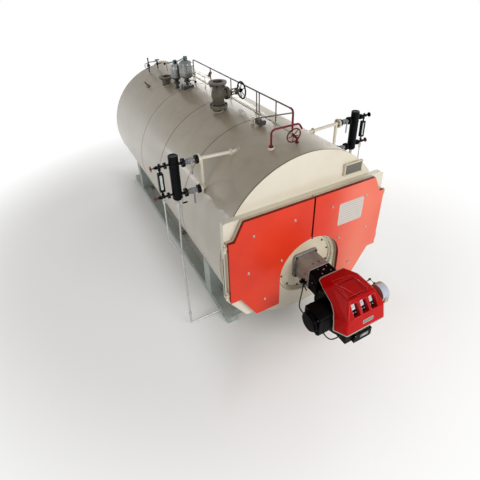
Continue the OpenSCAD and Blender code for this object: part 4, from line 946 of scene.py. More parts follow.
def fan_trim():
    """Rim bolts and seam of the volute, and the motor's smooth housing, end rings, tie bolts and terminal box."""
    middle, half_width, y, z = 0.060, 0.195, FRONT - 0.715, BURNER_Z - 0.190
    left, right = middle - half_width, middle + half_width
    rim = ring_part([(0.238, -0.002), (0.262, -0.002), (0.262, 0.004), (0.259, 0.006), (0.241, 0.006),
                     (0.238, 0.004)], 96)
    parts = ((bead(0.2700, 0.0035, 120).turned(RIGHT), middle), (rim.turned(LEFT), left),
             (rim.turned(RIGHT), right))
    piece("fan_volute_rims", joined(part.at(x, y, z) for part, x in parts), black_paint, slot="black_paint")
    heads = bolt(0.013, 0.003).turned(LEFT).copies(circle(12, 0.25, 15)[:, [2, 0, 1]] + (left - 0.006, y, z))
    piece("fan_volute_screws", heads, dark_steel)
    end = left - 0.245
    cap = end - 0.055
    grille = [bead(radius, 0.0028, 64).turned(RIGHT).at(cap + 0.0012, y, z)
              for radius in (0.022, 0.044, 0.066, 0.088, 0.106)]
    grille.append(bead(0.1170, 0.003, 80).turned(RIGHT).at(cap + 0.018, y, z))
    piece("motor_grille", joined(grille), black_paint, slot="black_paint")
    housing = frame_part(rounded_outline(0.2725, 0.2725, 0.0345, 10),
                         ((0.030, -0.0045), (0.006, -0.0045), (0.0, 0.002), (0.0, 0.060), (-0.0035, 0.064),
                          (-0.0035, 0.078), (0.0, 0.082), (0.0, 0.2405), (0.004, 0.2440), (0.030, 0.2440)))
    piece("motor_housing", housing.turned(RIGHT).at(end, y, z), black_paint, slot="black_paint")
    lug = turned_part([(0.011, 0), (0.011, 0.014), (0.009, 0.016)], 18) + nut(0.013).at(0, 0, 0.015)
    spots = [(end + 0.001, y + dy, z + dz) for dy, dz in four(0.108, 0.108)]
    piece("motor_tie_bolts", lug.turned(LEFT).copies(spots), dark_steel)
    box = block(0.110, 0.085, 0.028, 0.010, 0.003).turned(DOWN).at(-0.250, FRONT - 0.745, z - 0.1340)
    piece("motor_terminal_box", box, black_paint, slot="black_paint")


HOOD_FACE = (0.0, FRONT - 0.9915, BURNER_Z + 0.051)
HOOD_FACE_AXES = ((1, 0, 0), (0, 0.544, 0.839), (0, -0.839, 0.544))


def on_hood(part, x, along, out=0.0):
    """Lays a part on the hood's sloping face: sideways, up along the face from the window line, and out of it."""
    return Shape((part.points + (x, along, out)) @ np.array(HOOD_FACE_AXES), part.faces).at(*HOOD_FACE)


def hood_windows():
    """Red window frames with soft rims, their lighter red a painted highlight, and behind each a white instrument
    over a dark socket, on a near-black tray that paints the shade at the back of the window.
    """
    levels = ((0.118, 0.174, 0.016, -0.004), (0.116, 0.172, 0.015, 0.0015), (0.111, 0.167, 0.013, 0.0045),
              (0.104, 0.160, 0.010, 0.0050), (0.096, 0.152, 0.008, 0.0020), (0.0935, 0.1495, 0.008, -0.004),
              (0.088, 0.142, 0.008, -0.055), (0.092, 0.146, 0.008, -0.056), (0.0968, 0.1528, 0.009, -0.006))
    frame = loop_stack([np.column_stack((rounded_outline(w, h, r, 6), np.full(24, z)))
                        for w, h, r, z in levels])
    knob = turned_part([(0.006, 0), (0.006, 0.010), (0.004, 0.012)], 18)
    mark = block(0.0012, 0.0035, 0.0006, 0.0004, 0.0002).at(0, 0.0155, 0)
    hand = block(0.0018, 0.016, 0.0008, 0.0006, 0.0003).at(0, 0.006, 0)
    frames, trays, dials, faces, sockets, needles = ([] for _ in range(6))
    for x, turn in ((-0.017, 50), (0.109, -20), (0.235, 35)):
        frames.append(on_hood(frame, x, 0.0))
        trays.append(on_hood(block(0.094, 0.148, 0.004, 0.008, 0.001), x, 0.0, -0.058))
        dials.append(on_hood(block(0.062, 0.066, 0.018, 0.006, 0.003), x - 0.006, 0.028, -0.0545))
        faces.append(on_hood(block(0.044, 0.046, 0.0016, 0.004, 0.0005), x - 0.006, 0.030, -0.0368))
        faces += [on_hood(knob, x + dx, -0.034, -0.045) for dx in (-0.018, 0.014)]
        sockets.append(on_hood(block(0.072, 0.022, 0.010, 0.003, 0.001), x, -0.034, -0.0545))
        lines = [hand.spun("Z", turn)] + [mark.spun("Z", a) for a in range(-120, 121, 30)]
        needles += [on_hood(line, x - 0.006, 0.030, -0.0353) for line in lines]
    piece("hood_window_frames", joined(frames), hood_window, slot="hood_paint")
    # Painted shade: the near-black trays stand in for the shade at the back of the windows.
    piece("hood_window_trays", joined(trays), recess_shade_and_needle_black)
    piece("hood_instruments", joined(dials), dial_white)
    piece("hood_instrument_faces", joined(faces), dial_face)
    piece("hood_instrument_sockets", joined(sockets), black_paint)
    piece("hood_instrument_needles", joined(needles), recess_shade_and_needle_black)


def hood_trim():
    """The bare plate under the windows, and two beaded lines round the hood's sunk panel, in the lighter red that
    paints their highlight.
    """
    nose, place = (0.0, -0.9942, 0.1069), (0.140, FRONT - 1.0495, BURNER_Z - 0.130)
    piece("hood_plate_rim", block(0.150, 0.052, 0.0030, 0.004, 0.0010).turned(nose).at(*place), rim_grey)
    piece("hood_plate_face", block(0.136, 0.038, 0.0038, 0.003, 0.0006).turned(nose).at(*place), dial_grey)
    inner = loop_run(np.column_stack((rounded_outline(0.243, 0.219, 0.016, 6), np.zeros(24))), 0.0030, UP)
    inner = inner.spun("X", 6.5).at(0.0815, FRONT - 0.7735, BURNER_Z + 0.1666)
    corners = np.array([(-0.108, -0.950, 0), (0.246, -0.889, 0), (0.203, -0.652, 0), (-0.060, -0.622, 0)])
    outer = bent(np.vstack((corners, corners[:1])), 0.020)[:-1]
    outer[0] = (corners[0] + corners[1]) / 2
    outer[:, 2] = BURNER_Z + 0.1679 + (0.797 + outer[:, 1]) * 0.1148
    outer[:, 1] += FRONT
    piece("hood_panel_line", inner + loop_run(outer, 0.0026, UP), hood_window, slot="hood_paint")


def servo_trim():
    """The servo's olive housing towards the hood, its grey-blue curved cover, screws, and the air flap's linkage."""
    y, z = FRONT - 0.885, BURNER_Z
    a = np.radians(np.linspace(178, -24, 40))
    side = np.stack((-np.cos(a), np.sin(a)), -1) * 0.1008
    side = np.vstack((side, [(side[-1, 0], -0.060), (0.1000, -0.060)]))
    levels = ((0.4045, 0.985), (0.4060, 1.0), (0.4430, 1.0), (0.4455, 0.99))
    rows = [np.column_stack((np.full(len(side), x), y + side[:, 0] * k, z + side[:, 1] * k))
            for x, k in levels]
    piece("servo_housing", rings(rows), servo_olive, slot="servo_grey")
    a = np.radians(np.linspace(101, -1, 26))
    profile = ((0.1005, 0.4030), (0.1040, 0.4030), (0.1056, 0.4050), (0.1056, 0.4965), (0.1040, 0.4985),
               (0.1005, 0.4985))
    rows = [np.column_stack((np.full(26, x), y - r * np.cos(a), z + r * np.sin(a))) for r, x in profile]
    piece("servo_cover", rings(np.array(rows).transpose(1, 0, 2)), servo_blue, slot="servo_grey")
    head = turned_part([(0.004, 0), (0.004, 0.002), (0.0015, 0.0035)], 12).turned(RIGHT)
    places = [(0.502, y + dy, z + dz)
              for dy, dz in ((-0.060, -0.085), (0.085, -0.085), (-0.05, 0.065), (0.05, 0.065))]
    piece("servo_screws", head.copies(places), bright_steel)
    joint = turned_part([(0.004, -0.014), (0.011, -0.011), (0.0135, -0.003), (0.0135, 0.003), (0.011, 0.011),
                         (0.004, 0.014)], 18).turned(RIGHT)
    flap, crank = (0.425, FRONT - 0.742, z + 0.083), (0.425, FRONT - 0.815, z + 0.079)
    back = flap[1] + 0.006
    shaft = bar((0.330, back, z + 0.064), (0.412, back, z + 0.064), 0.006, 14)
    arm = bar((0.410, back, z + 0.060), (0.410, flap[1], z + 0.088), 0.0065, 12, RIGHT)
    clamp = bar((0.425, crank[1] - 0.004, z + 0.060), (0.425, crank[1], z + 0.082), 0.0095, 12, RIGHT)
    rod = bar(flap, crank, 0.0030, 10, RIGHT)
    piece("servo_linkage", joined((joint.at(*flap), joint.at(*crank), shaft, arm, clamp, rod)), dark_steel)


def gas_block_trim():
    """Grey cover with its pale label place in the gas block's front, screws, and cooling ribs on top."""
    x0, y0, z0 = 0.042, FRONT - 1.000, BURNER_Z - 0.535
    cover = block(0.124, 0.055, 0.007, 0.004, 0.0012).turned(FORE).at(x0 + 0.157, y0 + 0.0095, z0 + 0.061)
    piece("gas_block_cover", cover, flange_grey)
    label = block(0.060, 0.024, 0.0018, 0.003, 0.0005).turned(FORE).at(x0 + 0.150, y0 + 0.0030, z0 + 0.063)
    piece("gas_block_label", label, rim_grey)
    head = turned_part([(0.005, 0), (0.005, 0.0035), (0.0035, 0.005), (0.002, 0.005), (0.0018, 0.003)], 14)
    spots = [(x0 + dx, z0 + dz) for dx in (0.015, 0.247) for dz in (0.015, 0.110)]
    piece("gas_block_screws", on_front(head, spots, y0), bright_steel)
    places = [(x0 + 0.03 + i * 0.022, y0 + 0.063, z0 + 0.1248) for i in range(10)]
    piece("gas_block_ribs", block(0.004, 0.100, 0.004, 0.0015, 0.001).copies(places), flange_grey)


# Steam outlets

VALVE = (-0.240, FRONT + 1.795)
VALVE_HEIGHT = 0.340
VALVE_FACE = AXIS_Z + 1.195
VALVE_MID = VALVE_FACE + 0.47 * VALVE_HEIGHT


def flange_set(x, y, face, top_nuts):
    """Eight bolts through a pair of flanges that meets at a height, with the nuts of both ends."""
    spots = circle(8, 0.105, 22.5) + (x, y, 0)
    under = (washer(0.015) + nut(0.024).at(0, 0,
                                           0.002) + stud_end(0.0078, 0.014).at(0, 0, 0.014)).spun("X", 180)
    nuts = under.copies(spots + (0, 0, face - 0.024))
    if top_nuts:
        over = washer(0.015) + nut(0.024).at(0, 0, 0.002) + stud_end(0.0078, 0.006).at(0, 0, 0.014)
        nuts = nuts + over.copies(spots + (0, 0, face + 0.024))
    else:
        stud = turned_part([(0.0078, -0.026), (0.0078, -0.0012), (0.0066, 0.0)], 14)
        nuts = nuts + stud.copies(spots + (0, 0, face - 0.0004))
    return nuts


FLANGE_EDGE = ((0.1235, -0.010), (0.1257, -0.009), (0.1259, 0.0), (0.1257, 0.009), (0.1235, 0.010))
FLANGE_FACE = ((0.064, -0.0015), (0.082, -0.0015), (0.082, 0.0012), (0.0815, 0.0016), (0.064, 0.0016))
VALVE_WHEEL = 0.350


def stop_valve_trim():
    """Flange bolts, gaskets, bonnet bolts, the ribs of the body, the stem's thread and the wheel's nut."""
    x, y = VALVE
    top = VALVE_FACE + VALVE_HEIGHT
    level = lambda part, out: part.turned(RIGHT).at(x + out, y, VALVE_MID)
    piece("stop_valve_bolts", flange_set(x, y, VALVE_FACE, True) + flange_set(x, y, top, False), dark_steel)
    gaskets = band(0.088, 0.0955, 0.0012, 64).at(x, y, VALVE_FACE) + ring_part(FLANGE_FACE, 64).at(x, y, top)
    piece("stop_valve_gaskets", gaskets, gasket_dark)
    levels = (VALVE_FACE - 0.012, VALVE_FACE + 0.012, top - 0.012)
    edges = ring_part(FLANGE_EDGE, 80).copies([(x, y, z) for z in levels])
    piece("stop_valve_flange_edges", edges, flange_rust)
    ring = circle(8, 0.076, 22.5)[:, [2, 0, 1]] + (x, y, VALVE_MID)
    bonnet = bolt(0.017, 0.006).turned(RIGHT).copies(ring + (0.148, 0, 0))
    back = (nut(0.017) + stud_end(0.0055, 0.006).at(0, 0, 0.008)).turned(LEFT).copies(ring + (0.108, 0, 0))
    piece("stop_valve_bonnet_bolts", bonnet + back, dark_steel)
    piece("stop_valve_bonnet_gasket", level(band(0.080, 0.0875, 0.0015, 64), 0.128), gasket_dark)
    packing = turned_part([(0.026, 0), (0.026, 0.012), (0.030, 0.014), (0.030, 0.024), (0.018, 0.026)], 28)
    eyes = bar((0, -0.034, 0.030), (0, 0.034, 0.030), 0.009, 12, RIGHT)
    piece("stop_valve_packing", level(packing + eyes, 0.180), dark_steel)
    thread = turned_part([(0.0122 if i % 2 else 0.0132, i * 0.0022) for i in range(28)], 18)
    piece("stop_valve_thread", level(thread, 0.214), bright_steel)
    cone = turned_part([(0.017, 0), (0.017, 0.003), (0.010, 0.011), (0.002, 0.0124)], 20)
    piece("stop_valve_wheel_nut", level(cone, VALVE_WHEEL + 0.028), dark_steel)
    hub = ring_part([(0.0145, 0.0), (0.024, 0.0), (0.024, 0.004), (0.0145, 0.004)], 24)
    piece("stop_valve_wheel_hub", level(hub, VALVE_WHEEL - 0.0185), dark_steel, "stop_valve_wheel")
    rib = slab([(0, 0), (0.046, 0.0), (0.040, 0.030), (0.012, 0.060), (0.0, 0.060)], 0.010, 0.001)
    rib = rib.at(0, -0.060, -0.005).spun("X", 90).at(0.0715, 0, 0)
    ribs = joined(rib.spun("Z", a).at(x, y, top - 0.0235) for a in (45, 135, 225, 315))
    piece("stop_valve_ribs", ribs, valve_grey, slot="cast_grey")


def rear_nozzle_trim():
    """Studs standing in the rear nozzle's flange with their nuts, and its rust-red edge."""
    x, y, face = -0.385, FRONT + 3.617, AXIS_Z + 1.222
    piece("rear_nozzle_bolts", flange_set(x, y, face, False), dark_steel)
    piece("rear_nozzle_edge", ring_part(FLANGE_EDGE, 80).at(x, y, face - 0.012), flange_rust)
    piece("rear_nozzle_gasket", ring_part(FLANGE_FACE, 64).at(x, y, face), gasket_dark)


# Each safety valve: its place, the diameter of its bell, its height, and the turn of its lever in degrees
SAFETY = ((-0.205, FRONT + 3.067, TOP + 0.024, 0.236, 0.408, 10.0),
          (-0.323, FRONT + 3.242, crown(0.323) + 0.020, 0.170, 0.380, -40.0))


def safety_trim():
    """Teal caps with their locknuts, flange bolts, seams of the bells, the easing weights and the base's bolts."""
    caps, nuts, seams, weights, pins = ([] for _ in range(5))
    profile = ((0.0285, 0.006), (0.0345, 0.008), (0.0345, 0.030), (0.0325, 0.034), (0.0325, 0.050),
               (0.0285, 0.0575),
               (0.0235, 0.0592), (0.0225, 0.0575))
    under = (nut(0.013) + stud_end(0.004, 0.004).at(0, 0, 0.006)).spun("X", 180)
    pair = bolt(0.013, 0.004).at(0, 0, 0.080) + under.at(0, 0, 0.052)
    ball = turned_part([(0.004, -0.020), (0.016, -0.014), (0.020, 0.0), (0.016, 0.014), (0.004, 0.020)], 20)
    rod = bar((0, 0, 0.010), (0, 0, -0.120), 0.0035, 8, RIGHT)
    pin = turned_part([(0.011, -0.020), (0.011, 0.020)], 16)
    for x, y, z, bell, height, turn in SAFETY:
        top = np.array((x, y, z + height))
        caps.append(ring_part(profile, 32).at(*top))
        nuts.append(pair.copies(circle(4, 0.041, 45) + (x, y, z)))
        seams += [bead(bell / 2, 0.0022, 80).at(x, y, z + rise) for rise in (0.205, height - 0.078)]
        tip = -np.array((math.cos(math.radians(turn)), math.sin(math.radians(turn)), 0.0))
        weights += [ball.at(*(top - (0, 0, 0.008) + tip * 0.182)),
                    rod.at(*(top - (0, 0, 0.010) + tip * 0.150))]
        pins.append(pin.turned((tip[1], -tip[0], 0)).at(x, y, z + height + 0.038))
    for word, parts, finish in (("caps", caps, teal), ("bolts", nuts, dark_steel), ("seams", seams, silver),
                                ("weights", weights, black_paint), ("pins", pins, bright_steel)):
        piece("safety_valve_" + word, joined(parts), finish)
    x, y, top = SAFETY[0][:3]
    spots = [(x + dx, y + dy, top) for dx, dy in four(0.070, 0.046)]
    piece("safety_base_bolts", bolt(0.019, 0.006).copies(spots), dark_steel)
    piece("safety_base_plate", block(0.186, 0.130, 0.004, 0.004, 0.001).at(x, y, top - 0.0025), flange_grey)
    line = [(x + 0.050, y - 0.02, top + 0.07), (x + 0.110, y - 0.02, top + 0.066),
            (x + 0.135, y - 0.022, top + 0.020)]
    ball = turned_part([(0.004, -0.022), (0.018, -0.015), (0.022, 0.0), (0.018, 0.015), (0.004, 0.022)], 20)
    drain = run(line, 0.006, 10, BACK, 6) + ball.at(x + 0.135, y - 0.022, top + 0.032)
    piece("safety_drain", drain, black_paint)


# Crown fittings

def vent_trim():
    """The vent pipe with its bends, a small flange on its cream foot, and the gland and nut of its valve."""
    x, y, foot, top = -0.280, FRONT + 0.361, crown(-0.280) + 0.020, TOP + 0.190
    line = bent([(x, y, foot - 0.04), (x, y, top), (0.094, y, top), (0.140, y, top - 0.072)], 0.052)
    stub = turned_part([(0.030, -0.04), (0.030, -0.0005)], 32).at(x, y, foot)
    axis = np.array((-math.sqrt(0.5), 0, math.sqrt(0.5)))
    wheel = np.array((-0.030, y - 0.076, TOP + 0.100))
    seat = wheel - 0.072 * axis
    profile = ((0.013, -0.012), (0.019, -0.004), (0.0215, 0.004), (0.019, 0.014), (0.010, 0.020))
    post = turned_part([(0.013, TOP - 0.01)] + [(r, seat[2] + h) for r, h in profile],
                       28).at(seat[0], seat[1], 0)
    stem = bar(seat, seat + 0.088 * axis, 0.0055, 16, BACK)
    pipe = piece("vent_pipe_bent", joined((run(line, 0.012, 20, BACK, 1), stub, post, stem)), vent_red)
    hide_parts("vent_pipe")
    disc = turned_part([(0.033, 0.0), (0.033, 0.008), (0.031, 0.010), (0.018, 0.010), (0.017, 0.015),
                        (0.0135, 0.017)], 32)
    piece("vent_flange", disc.at(x, y, foot), dark_red)
    rim = ring_part([(0.0305, -0.012), (0.0385, -0.012), (0.0385, -0.001), (0.037, 0.0), (0.0305, 0.0)], 40)
    piece("vent_foot", rim.at(x, y, foot), cream, slot="shell_paint")
    piece("vent_flange_bolts", bolt(0.008, 0.002).copies(circle(4, 0.0255, 20) + (x, y, foot + 0.0095)),
          dark_steel)
    nuts = [nut(across).turned(axis).at(*(wheel - axis * low))
            for across, low in ((0.026, 0.048), (0.020, 0.034))]
    base = ring_part([(0.0128, 0.0), (0.024, 0.0), (0.024, 0.008), (0.021, 0.010), (0.0128, 0.010)], 28)
    piece("vent_valve_gland", joined(nuts + [base.at(wheel[0] + 0.0509, wheel[1], TOP - 0.001)]), dark_steel)
    piece("vent_wheel_nut", nut(0.019).turned(axis).at(*(wheel + axis * 0.0135)), dark_steel,
          "vent_valve_wheel")


def rail_trim():
    """The rail with its bent ends, its feet and joints, the stay's cream end fitting, and the short rear rail."""
    x = 0.157
    base, first, last, top = crown(x) + 0.008, FRONT + 0.572, FRONT + 3.654, TOP + 0.280
    feet = [first + y for y in (0, 0.368, 0.778, 0.848, 1.608, 2.345, 3.082)]
    low = base - 0.02
    front = run(bent([(x, first, low), (x, first, top), (x, first + 0.070, top)], 0.048), 0.013, 20, RIGHT, 1)
    rail = run(bent([(x, first + 0.060, top), (x, last, top), (x, last, low)], 0.040), 0.010, 16, RIGHT, 1)
    posts = bar((x, 0, low), (x, 0, top), 0.008, 14, RIGHT).copies([(0, y, 0) for y in feet[1:-1]])
    end = np.array((-0.118, FRONT + 1.062, TOP - 0.006))
    stay = bar((x, first, top - 0.040), end + (0, 0, 0.066), 0.008, 14)
    stay_post = turned_part([(0.015, -0.02), (0.015, 0.070), (0.013, 0.072)], 20).at(*end)
    strip = block(0.040, last - first + 0.020, 0.020, 0.003, 0.001).at(x, (first + last) / 2, low)
    whole = piece("handrail_bent", joined((front, rail, posts, stay, stay_post, strip)), rail_brown,
                  slot="rail_paint")
    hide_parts("handrail")
    brace = bar((-0.024, 0, 0.004), (-0.010, 0, 0.040), 0.0035, 8, BACK)
    foot = block(0.052, 0.030, 0.006, 0.004, 0.001) + brace + brace.flipped("X")
    piece("rail_feet", foot.copies([(x, y, base) for y in feet]), cream, slot="rail_paint")
    joints = bead(0.0086, 0.0022, 24).copies([(x, y, top - 0.012) for y in feet[1:-1]])
    piece("rail_joints", joints, rail_brown, slot="rail_paint")
    cup = turned_part([(0.0155, 0.004), (0.024, 0.004), (0.024, 0.012), (0.0175, 0.014), (0.0175, 0.050),
                       (0.022, 0.054), (0.022, 0.076), (0.0155, 0.080)], 28)
    plug = turned_part([(0.010, 0.072), (0.010, 0.090), (0.007, 0.094), (0.002, 0.095)], 20)
    elbow = turned_part([(0.012, 0.0), (0.019, 0.002), (0.019, 0.018), (0.012, 0.020)], 24)
    elbow = elbow.turned((0.275, -0.490, 0.208)).at(0.011, -0.020, 0.074)
    piece("stay_fitting", joined((cup, plug, elbow)).at(*end), cream, slot="rail_paint")
    x, level, ends = 0.04, TOP + 0.150, (FRONT + 2.890, FRONT + 3.300)
    ball = turned_part([(0.003, -0.0095), (0.008, -0.006), (0.0098, 0), (0.008, 0.006), (0.003, 0.0095)], 16)
    collar = turned_part([(0.022, -0.004), (0.022, 0.003), (0.020, 0.005), (0.0075, 0.006)], 24)
    parts = [bar((x, ends[0], level), (x, ends[1], level), 0.008, 12, RIGHT)]
    for y in ends:
        parts += [bar((x, y, TOP - 0.010), (x, y, level), 0.007, 12, RIGHT), ball.at(x, y, level),
                  collar.at(x, y, TOP)]
    piece("short_rail", joined(parts), cream, slot="rail_paint")


def switch_trim():
    """Cover, gland and cream plug caps of the pressure switch."""
    x, y, z = -0.110, FRONT + 0.890, TOP
    lid = block(0.094, 0.124, 0.005, 0.006, 0.0015).at(x + 0.045, y + 0.060, z + 0.0655)
    rib = block(0.094, 0.124, 0.004, 0.006, 0.0015).at(x + 0.045, y + 0.060, z + 0.024)
    piece("pressure_switch_cover", lid + rib, switch_brown)
    cap = turned_part([(0.0095, 0.071), (0.0115, 0.073), (0.0115, 0.090), (0.009, 0.0955), (0.003, 0.096)],
                      24)
    piece("pressure_switch_plugs", cap.copies([(x + 0.062, y + 0.040, z), (x + 0.062, y + 0.085, z)]),
          dial_white)
    screw = turned_part([(0.004, 0), (0.004, 0.0015), (0.002, 0.003)], 12)
    spots = [(x + dx, y + dy, z + 0.0704) for dx in (0.010, 0.080) for dy in (0.012, 0.108)]
    piece("pressure_switch_screws", screw.copies(spots), bright_steel)


def small_valve_trim():
    """Union nuts, wheel nuts and flanged feet of the two small rear valves."""
    y = REAR - 0.350
    nuts, feet = Shape([], []), Shape([], [])
    for x, rise in ((-0.410, 0.165), (-0.232, 0.120)):
        base = crown(x) - 0.012
        nuts = nuts + nut(0.030).at(x, y, base + rise - 0.036)
        feet = feet + turned_part([(0.026, 0.004), (0.026, 0.020), (0.024, 0.022), (0.0115, 0.023)],
                                  28).at(x, y, base)
    nuts = nuts + nut(0.026).at(-0.410, y, crown(-0.410) + 0.190)
    piece("rear_valve_nuts", nuts, dark_steel)
    piece("rear_valve_feet", feet, cream, slot="shell_paint")


def lug_trim():
    """Weld beads along the pads of the lifting lugs and a near-black lining in each eye that paints the shade inside
    it.
    """
    for side, name in SIDES:
        spin = lambda s: s.spun("Y", side * 32.0).at(0, REAR - 0.880, AXIS_Z)
        eye = ring_part([(0.0195, -0.0125), (0.0225, -0.0125), (0.0225, 0.0125), (0.0195, 0.0125)], 40)
        piece("lug_eye_" + name, spin(eye.turned(RIGHT).at(0, 0, CASING_R + 0.068)), recess_shade_and_needle_black)
        bead_line = bar((0.0125, -0.038, CASING_R + 0.0105), (0.0125, 0.038, CASING_R + 0.0105), 0.004, 8)
        piece("lug_weld_" + name, spin(bead_line + bead_line.flipped("X")), cream)


# Water gauges

GAUGE_X = 1.487
COLUMN_X = 1.320
VALVE_START = 1.034
VALVE_LENGTH = 0.195


def gauge_trim():
    """Glasses, frame screws, silver valve bodies, pale levers, wheel nuts and drain unions, both sides alike."""
    low, high = AXIS_Z + 0.657, AXIS_Z + 1.041
    mid, middle_x = (low + high) / 2, VALVE_START + VALVE_LENGTH / 2
    collar = ring_part([(0.0205, -0.005), (0.038, -0.005), (0.0395, -0.0035), (0.0395, 0.0035),
                        (0.038, 0.005),
                        (0.0205, 0.005)], 40)
    collar = collar.turned((1, 0, 0.045)).at(0.606, 0, AXIS_Z + 1.0078)
    glass = slab(rounded_outline(0.0325, 0.190, 0.0095, 8), 0.030, 0.003).turned(FORE).at(GAUGE_X, 0.015, mid)
    head = turned_part([(0.0038, 0), (0.0038, 0.0025), (0.002, 0.0038)], 12)
    screws = [head.turned((0, way, 0)).at(GAUGE_X + dx, way * 0.022, mid + dz)
              for dz in (-0.095, -0.057, -0.019, 0.019, 0.057, 0.095) for dx in (-0.0243, 0.0243)
              for way in (-1, 1)]
    barrel = turned_part([(0.0325, -0.0325), (0.0345, -0.030), (0.0345, -0.012), (0.0365, -0.009),
                          (0.0365, 0.009),
                          (0.0345, 0.012), (0.0345, 0.030), (0.0325, 0.0325)], 32).turned(RIGHT)
    flat = nut(0.054).stretched(1, 1, 0.42).turned(RIGHT)
    rim = ring_part([(0.050, -0.0230), (0.0610, -0.0230), (0.0635, -0.0205), (0.0635, -0.0030),
                     (0.0615, -0.001),
                     (0.050, -0.001)], 48).turned(RIGHT)
    cap = turned_part([(0.0145, 0.030), (0.0185, 0.036), (0.0185, 0.046), (0.0145, 0.051), (0.006, 0.0535)],
                      24)
    lever = slab(rounded_outline(0.0205, 0.162, 0.006, 5), 0.0045, 0.001).turned(FORE)
    shells, levers, hubs, seams, unions, rings_on_column, creams = [], [], [], [], [], [], [collar]
    for z in (AXIS_Z + 0.635, AXIS_Z + 1.025):
        shells += [barrel.at(middle_x, 0, z)] + [flat.at(middle_x + dx, 0, z) for dx in (-0.046, 0.034)]
        shells.append(cap.turned(FORE).at(middle_x, 0, z))
        creams.append(rim.at(VALVE_START, 0, z))
        levers += [lever.at(middle_x, -0.0545, z - 0.064), nut(0.015).turned(FORE).at(middle_x, -0.059, z)]
        for _, y, rise in circle(4, 0.037, 45)[:, [2, 0, 1]]:
            for x, way in ((VALVE_START - 0.014, -1), (VALVE_START + VALVE_LENGTH - 0.001, 1)):
                hubs.append(bolt(0.013, 0.004).turned((way, 0, 0)).at(x, y, z + rise))
        seams.append(band(0.044, 0.0475, 0.0015, 40).turned(RIGHT).at(VALVE_START + 0.0017, 0, z))
        rings_on_column += [bead(0.0575, 0.0025, 40).at(COLUMN_X, 0, z + dz) for dz in (-0.028, 0.028)]
    for z in (low, high):
        for x, way in ((GAUGE_X - 0.078, -1), (GAUGE_X - 0.052, 1)):
            hubs.append(nut(0.008).turned((way, 0, 0)).copies(circle(4, 0.028, 45)[:, [2, 0, 1]] + (x, 0, z)))
        unions += [nut(across).turned(RIGHT).at(GAUGE_X + dx, 0, z)
                   for across, dx in ((0.034, 0.026), (0.026, 0.046))]
    rows = (("glass", [glass], pale_glass), ("screws", screws, dark_steel),
            ("valve_bodies", shells, flange_grey),
            ("pipe_rims", creams, cream), ("levers", levers, bright_steel), ("bolts", hubs, dark_steel),
            ("gaskets", seams, gasket_dark), ("unions", unions, black_paint),
            ("column_rings", rings_on_column, black_paint))
    disc = turned_part([(0.0075, -0.003), (0.0265, -0.0025), (0.0265, 0.0015), (0.010, 0.004),
                        (0.0075, 0.008)], 32)
    for side, name in SIDES:
        place = lambda shape: shape.at(0, GAUGE_Y, 0).sided(side)
        for word, parts, finish in rows:
            piece("gauge_%s_%s" % (word, name), place(joined(parts)), finish,
                  slot="shell_paint" if word == "pipe_rims" else None)
        for level, z in (("upper", high), ("lower", low)):
            body = "cock_wheel_%s_%s" % (name, level)
            tint = black_paint if (side, level) == (1, "upper") else dark_red
            piece(body + "_disc", place(disc.turned(RIGHT).at(1.582, 0, z)), tint, body)
            piece(body + "_nut", place(nut(0.010).turned(RIGHT).at(1.588, 0, z)), bright_steel, body)


def drain_trim():
    """Hexagon unions and black lever grips on the drains, both sides alike."""
    x, top = 1.322, AXIS_Z + 0.558
    grip = slab(rounded_outline(0.064, 0.0155, 0.0055, 5), 0.0155, 0.0015).at(x - 0.083, 0, top - 0.0648)
    unions = nut(0.040).copies([(x, 0, top + dz) for dz in (-0.030, -0.094)])
    unions = unions + nut(0.032).copies([(GAUGE_X, 0, AXIS_Z + z) for z in (0.602, 0.574)])
    for side, name in SIDES:
        piece("drain_grips_" + name, grip.at(0, GAUGE_Y, 0).sided(side), black_paint)
        piece("drain_unions_" + name, unions.at(0, GAUGE_Y, 0).sided(side), zinc, slot="galvanised")


# Skid

def skid_trim():
    """Weld beads where the saddles stand on the beams and meet the casing, and the anchor holes' rims."""
    beads = []
    eye = ring_part([(0.0185, -0.002), (0.027, -0.002), (0.027, 0.0015), (0.025, 0.003), (0.0185, 0.003)], 36)
    eye = eye.turned(RIGHT)
    for side in (-1, 1):
        beads += [bar((0.838, FRONT + y, 0.1005), (0.978, FRONT + y, 0.1005), 0.0045, 8).sided(side)
                  for y in (0.797, 0.997, 4.236, 4.436)]
        beads += [eye.at(0.9795, FRONT + y, 0.050).sided(side) for y in (0.390, 4.750)]
    a = np.radians(np.linspace(-124, -56, 60))
    for y in (0.811, 0.983, 4.250, 4.422):
        arc = np.stack((1.1515 * np.cos(a), np.full(60, FRONT + y), AXIS_Z + 1.1515 * np.sin(a)), -1)
        beads.append(run(arc, 0.004, 6, BACK, 1))
    piece("skid_welds", joined(beads), frame_blue, slot="frame_paint")


for trim in (casing_trim, rear_trim, door_trim, smoke_box_trim, flange_trim, neck_trim, fan_trim,
             hood_windows,
             hood_trim, servo_trim, gas_block_trim, stop_valve_trim, rear_nozzle_trim, safety_trim, vent_trim,
             rail_trim, switch_trim, small_valve_trim, lug_trim, gauge_trim, drain_trim, skid_trim):
    trim()


# Studio

WHITE = (1.0, 1.0, 1.0, 1.0)
SKY_TINT = (1.0, 0.985, 0.96, 1.0)
SKY_LEVEL = 0.28
FLOOR_HALF = 60.0
SEEN_RAYS = ("Is Camera Ray", "Is Glossy Ray", "Is Transmission Ray")
LAMPS = (("front_lamp", (1.5, -9.0, 3.6), 4.0, 330.0), ("right_lamp", (8.0, 1.5, 3.2), 4.5, 400.0),
         ("left_lamp", (-8.0, -3.0, 3.2), 4.5, 120.0), ("rear_lamp", (4.5, 8.0, 4.5), 4.5, 170.0))


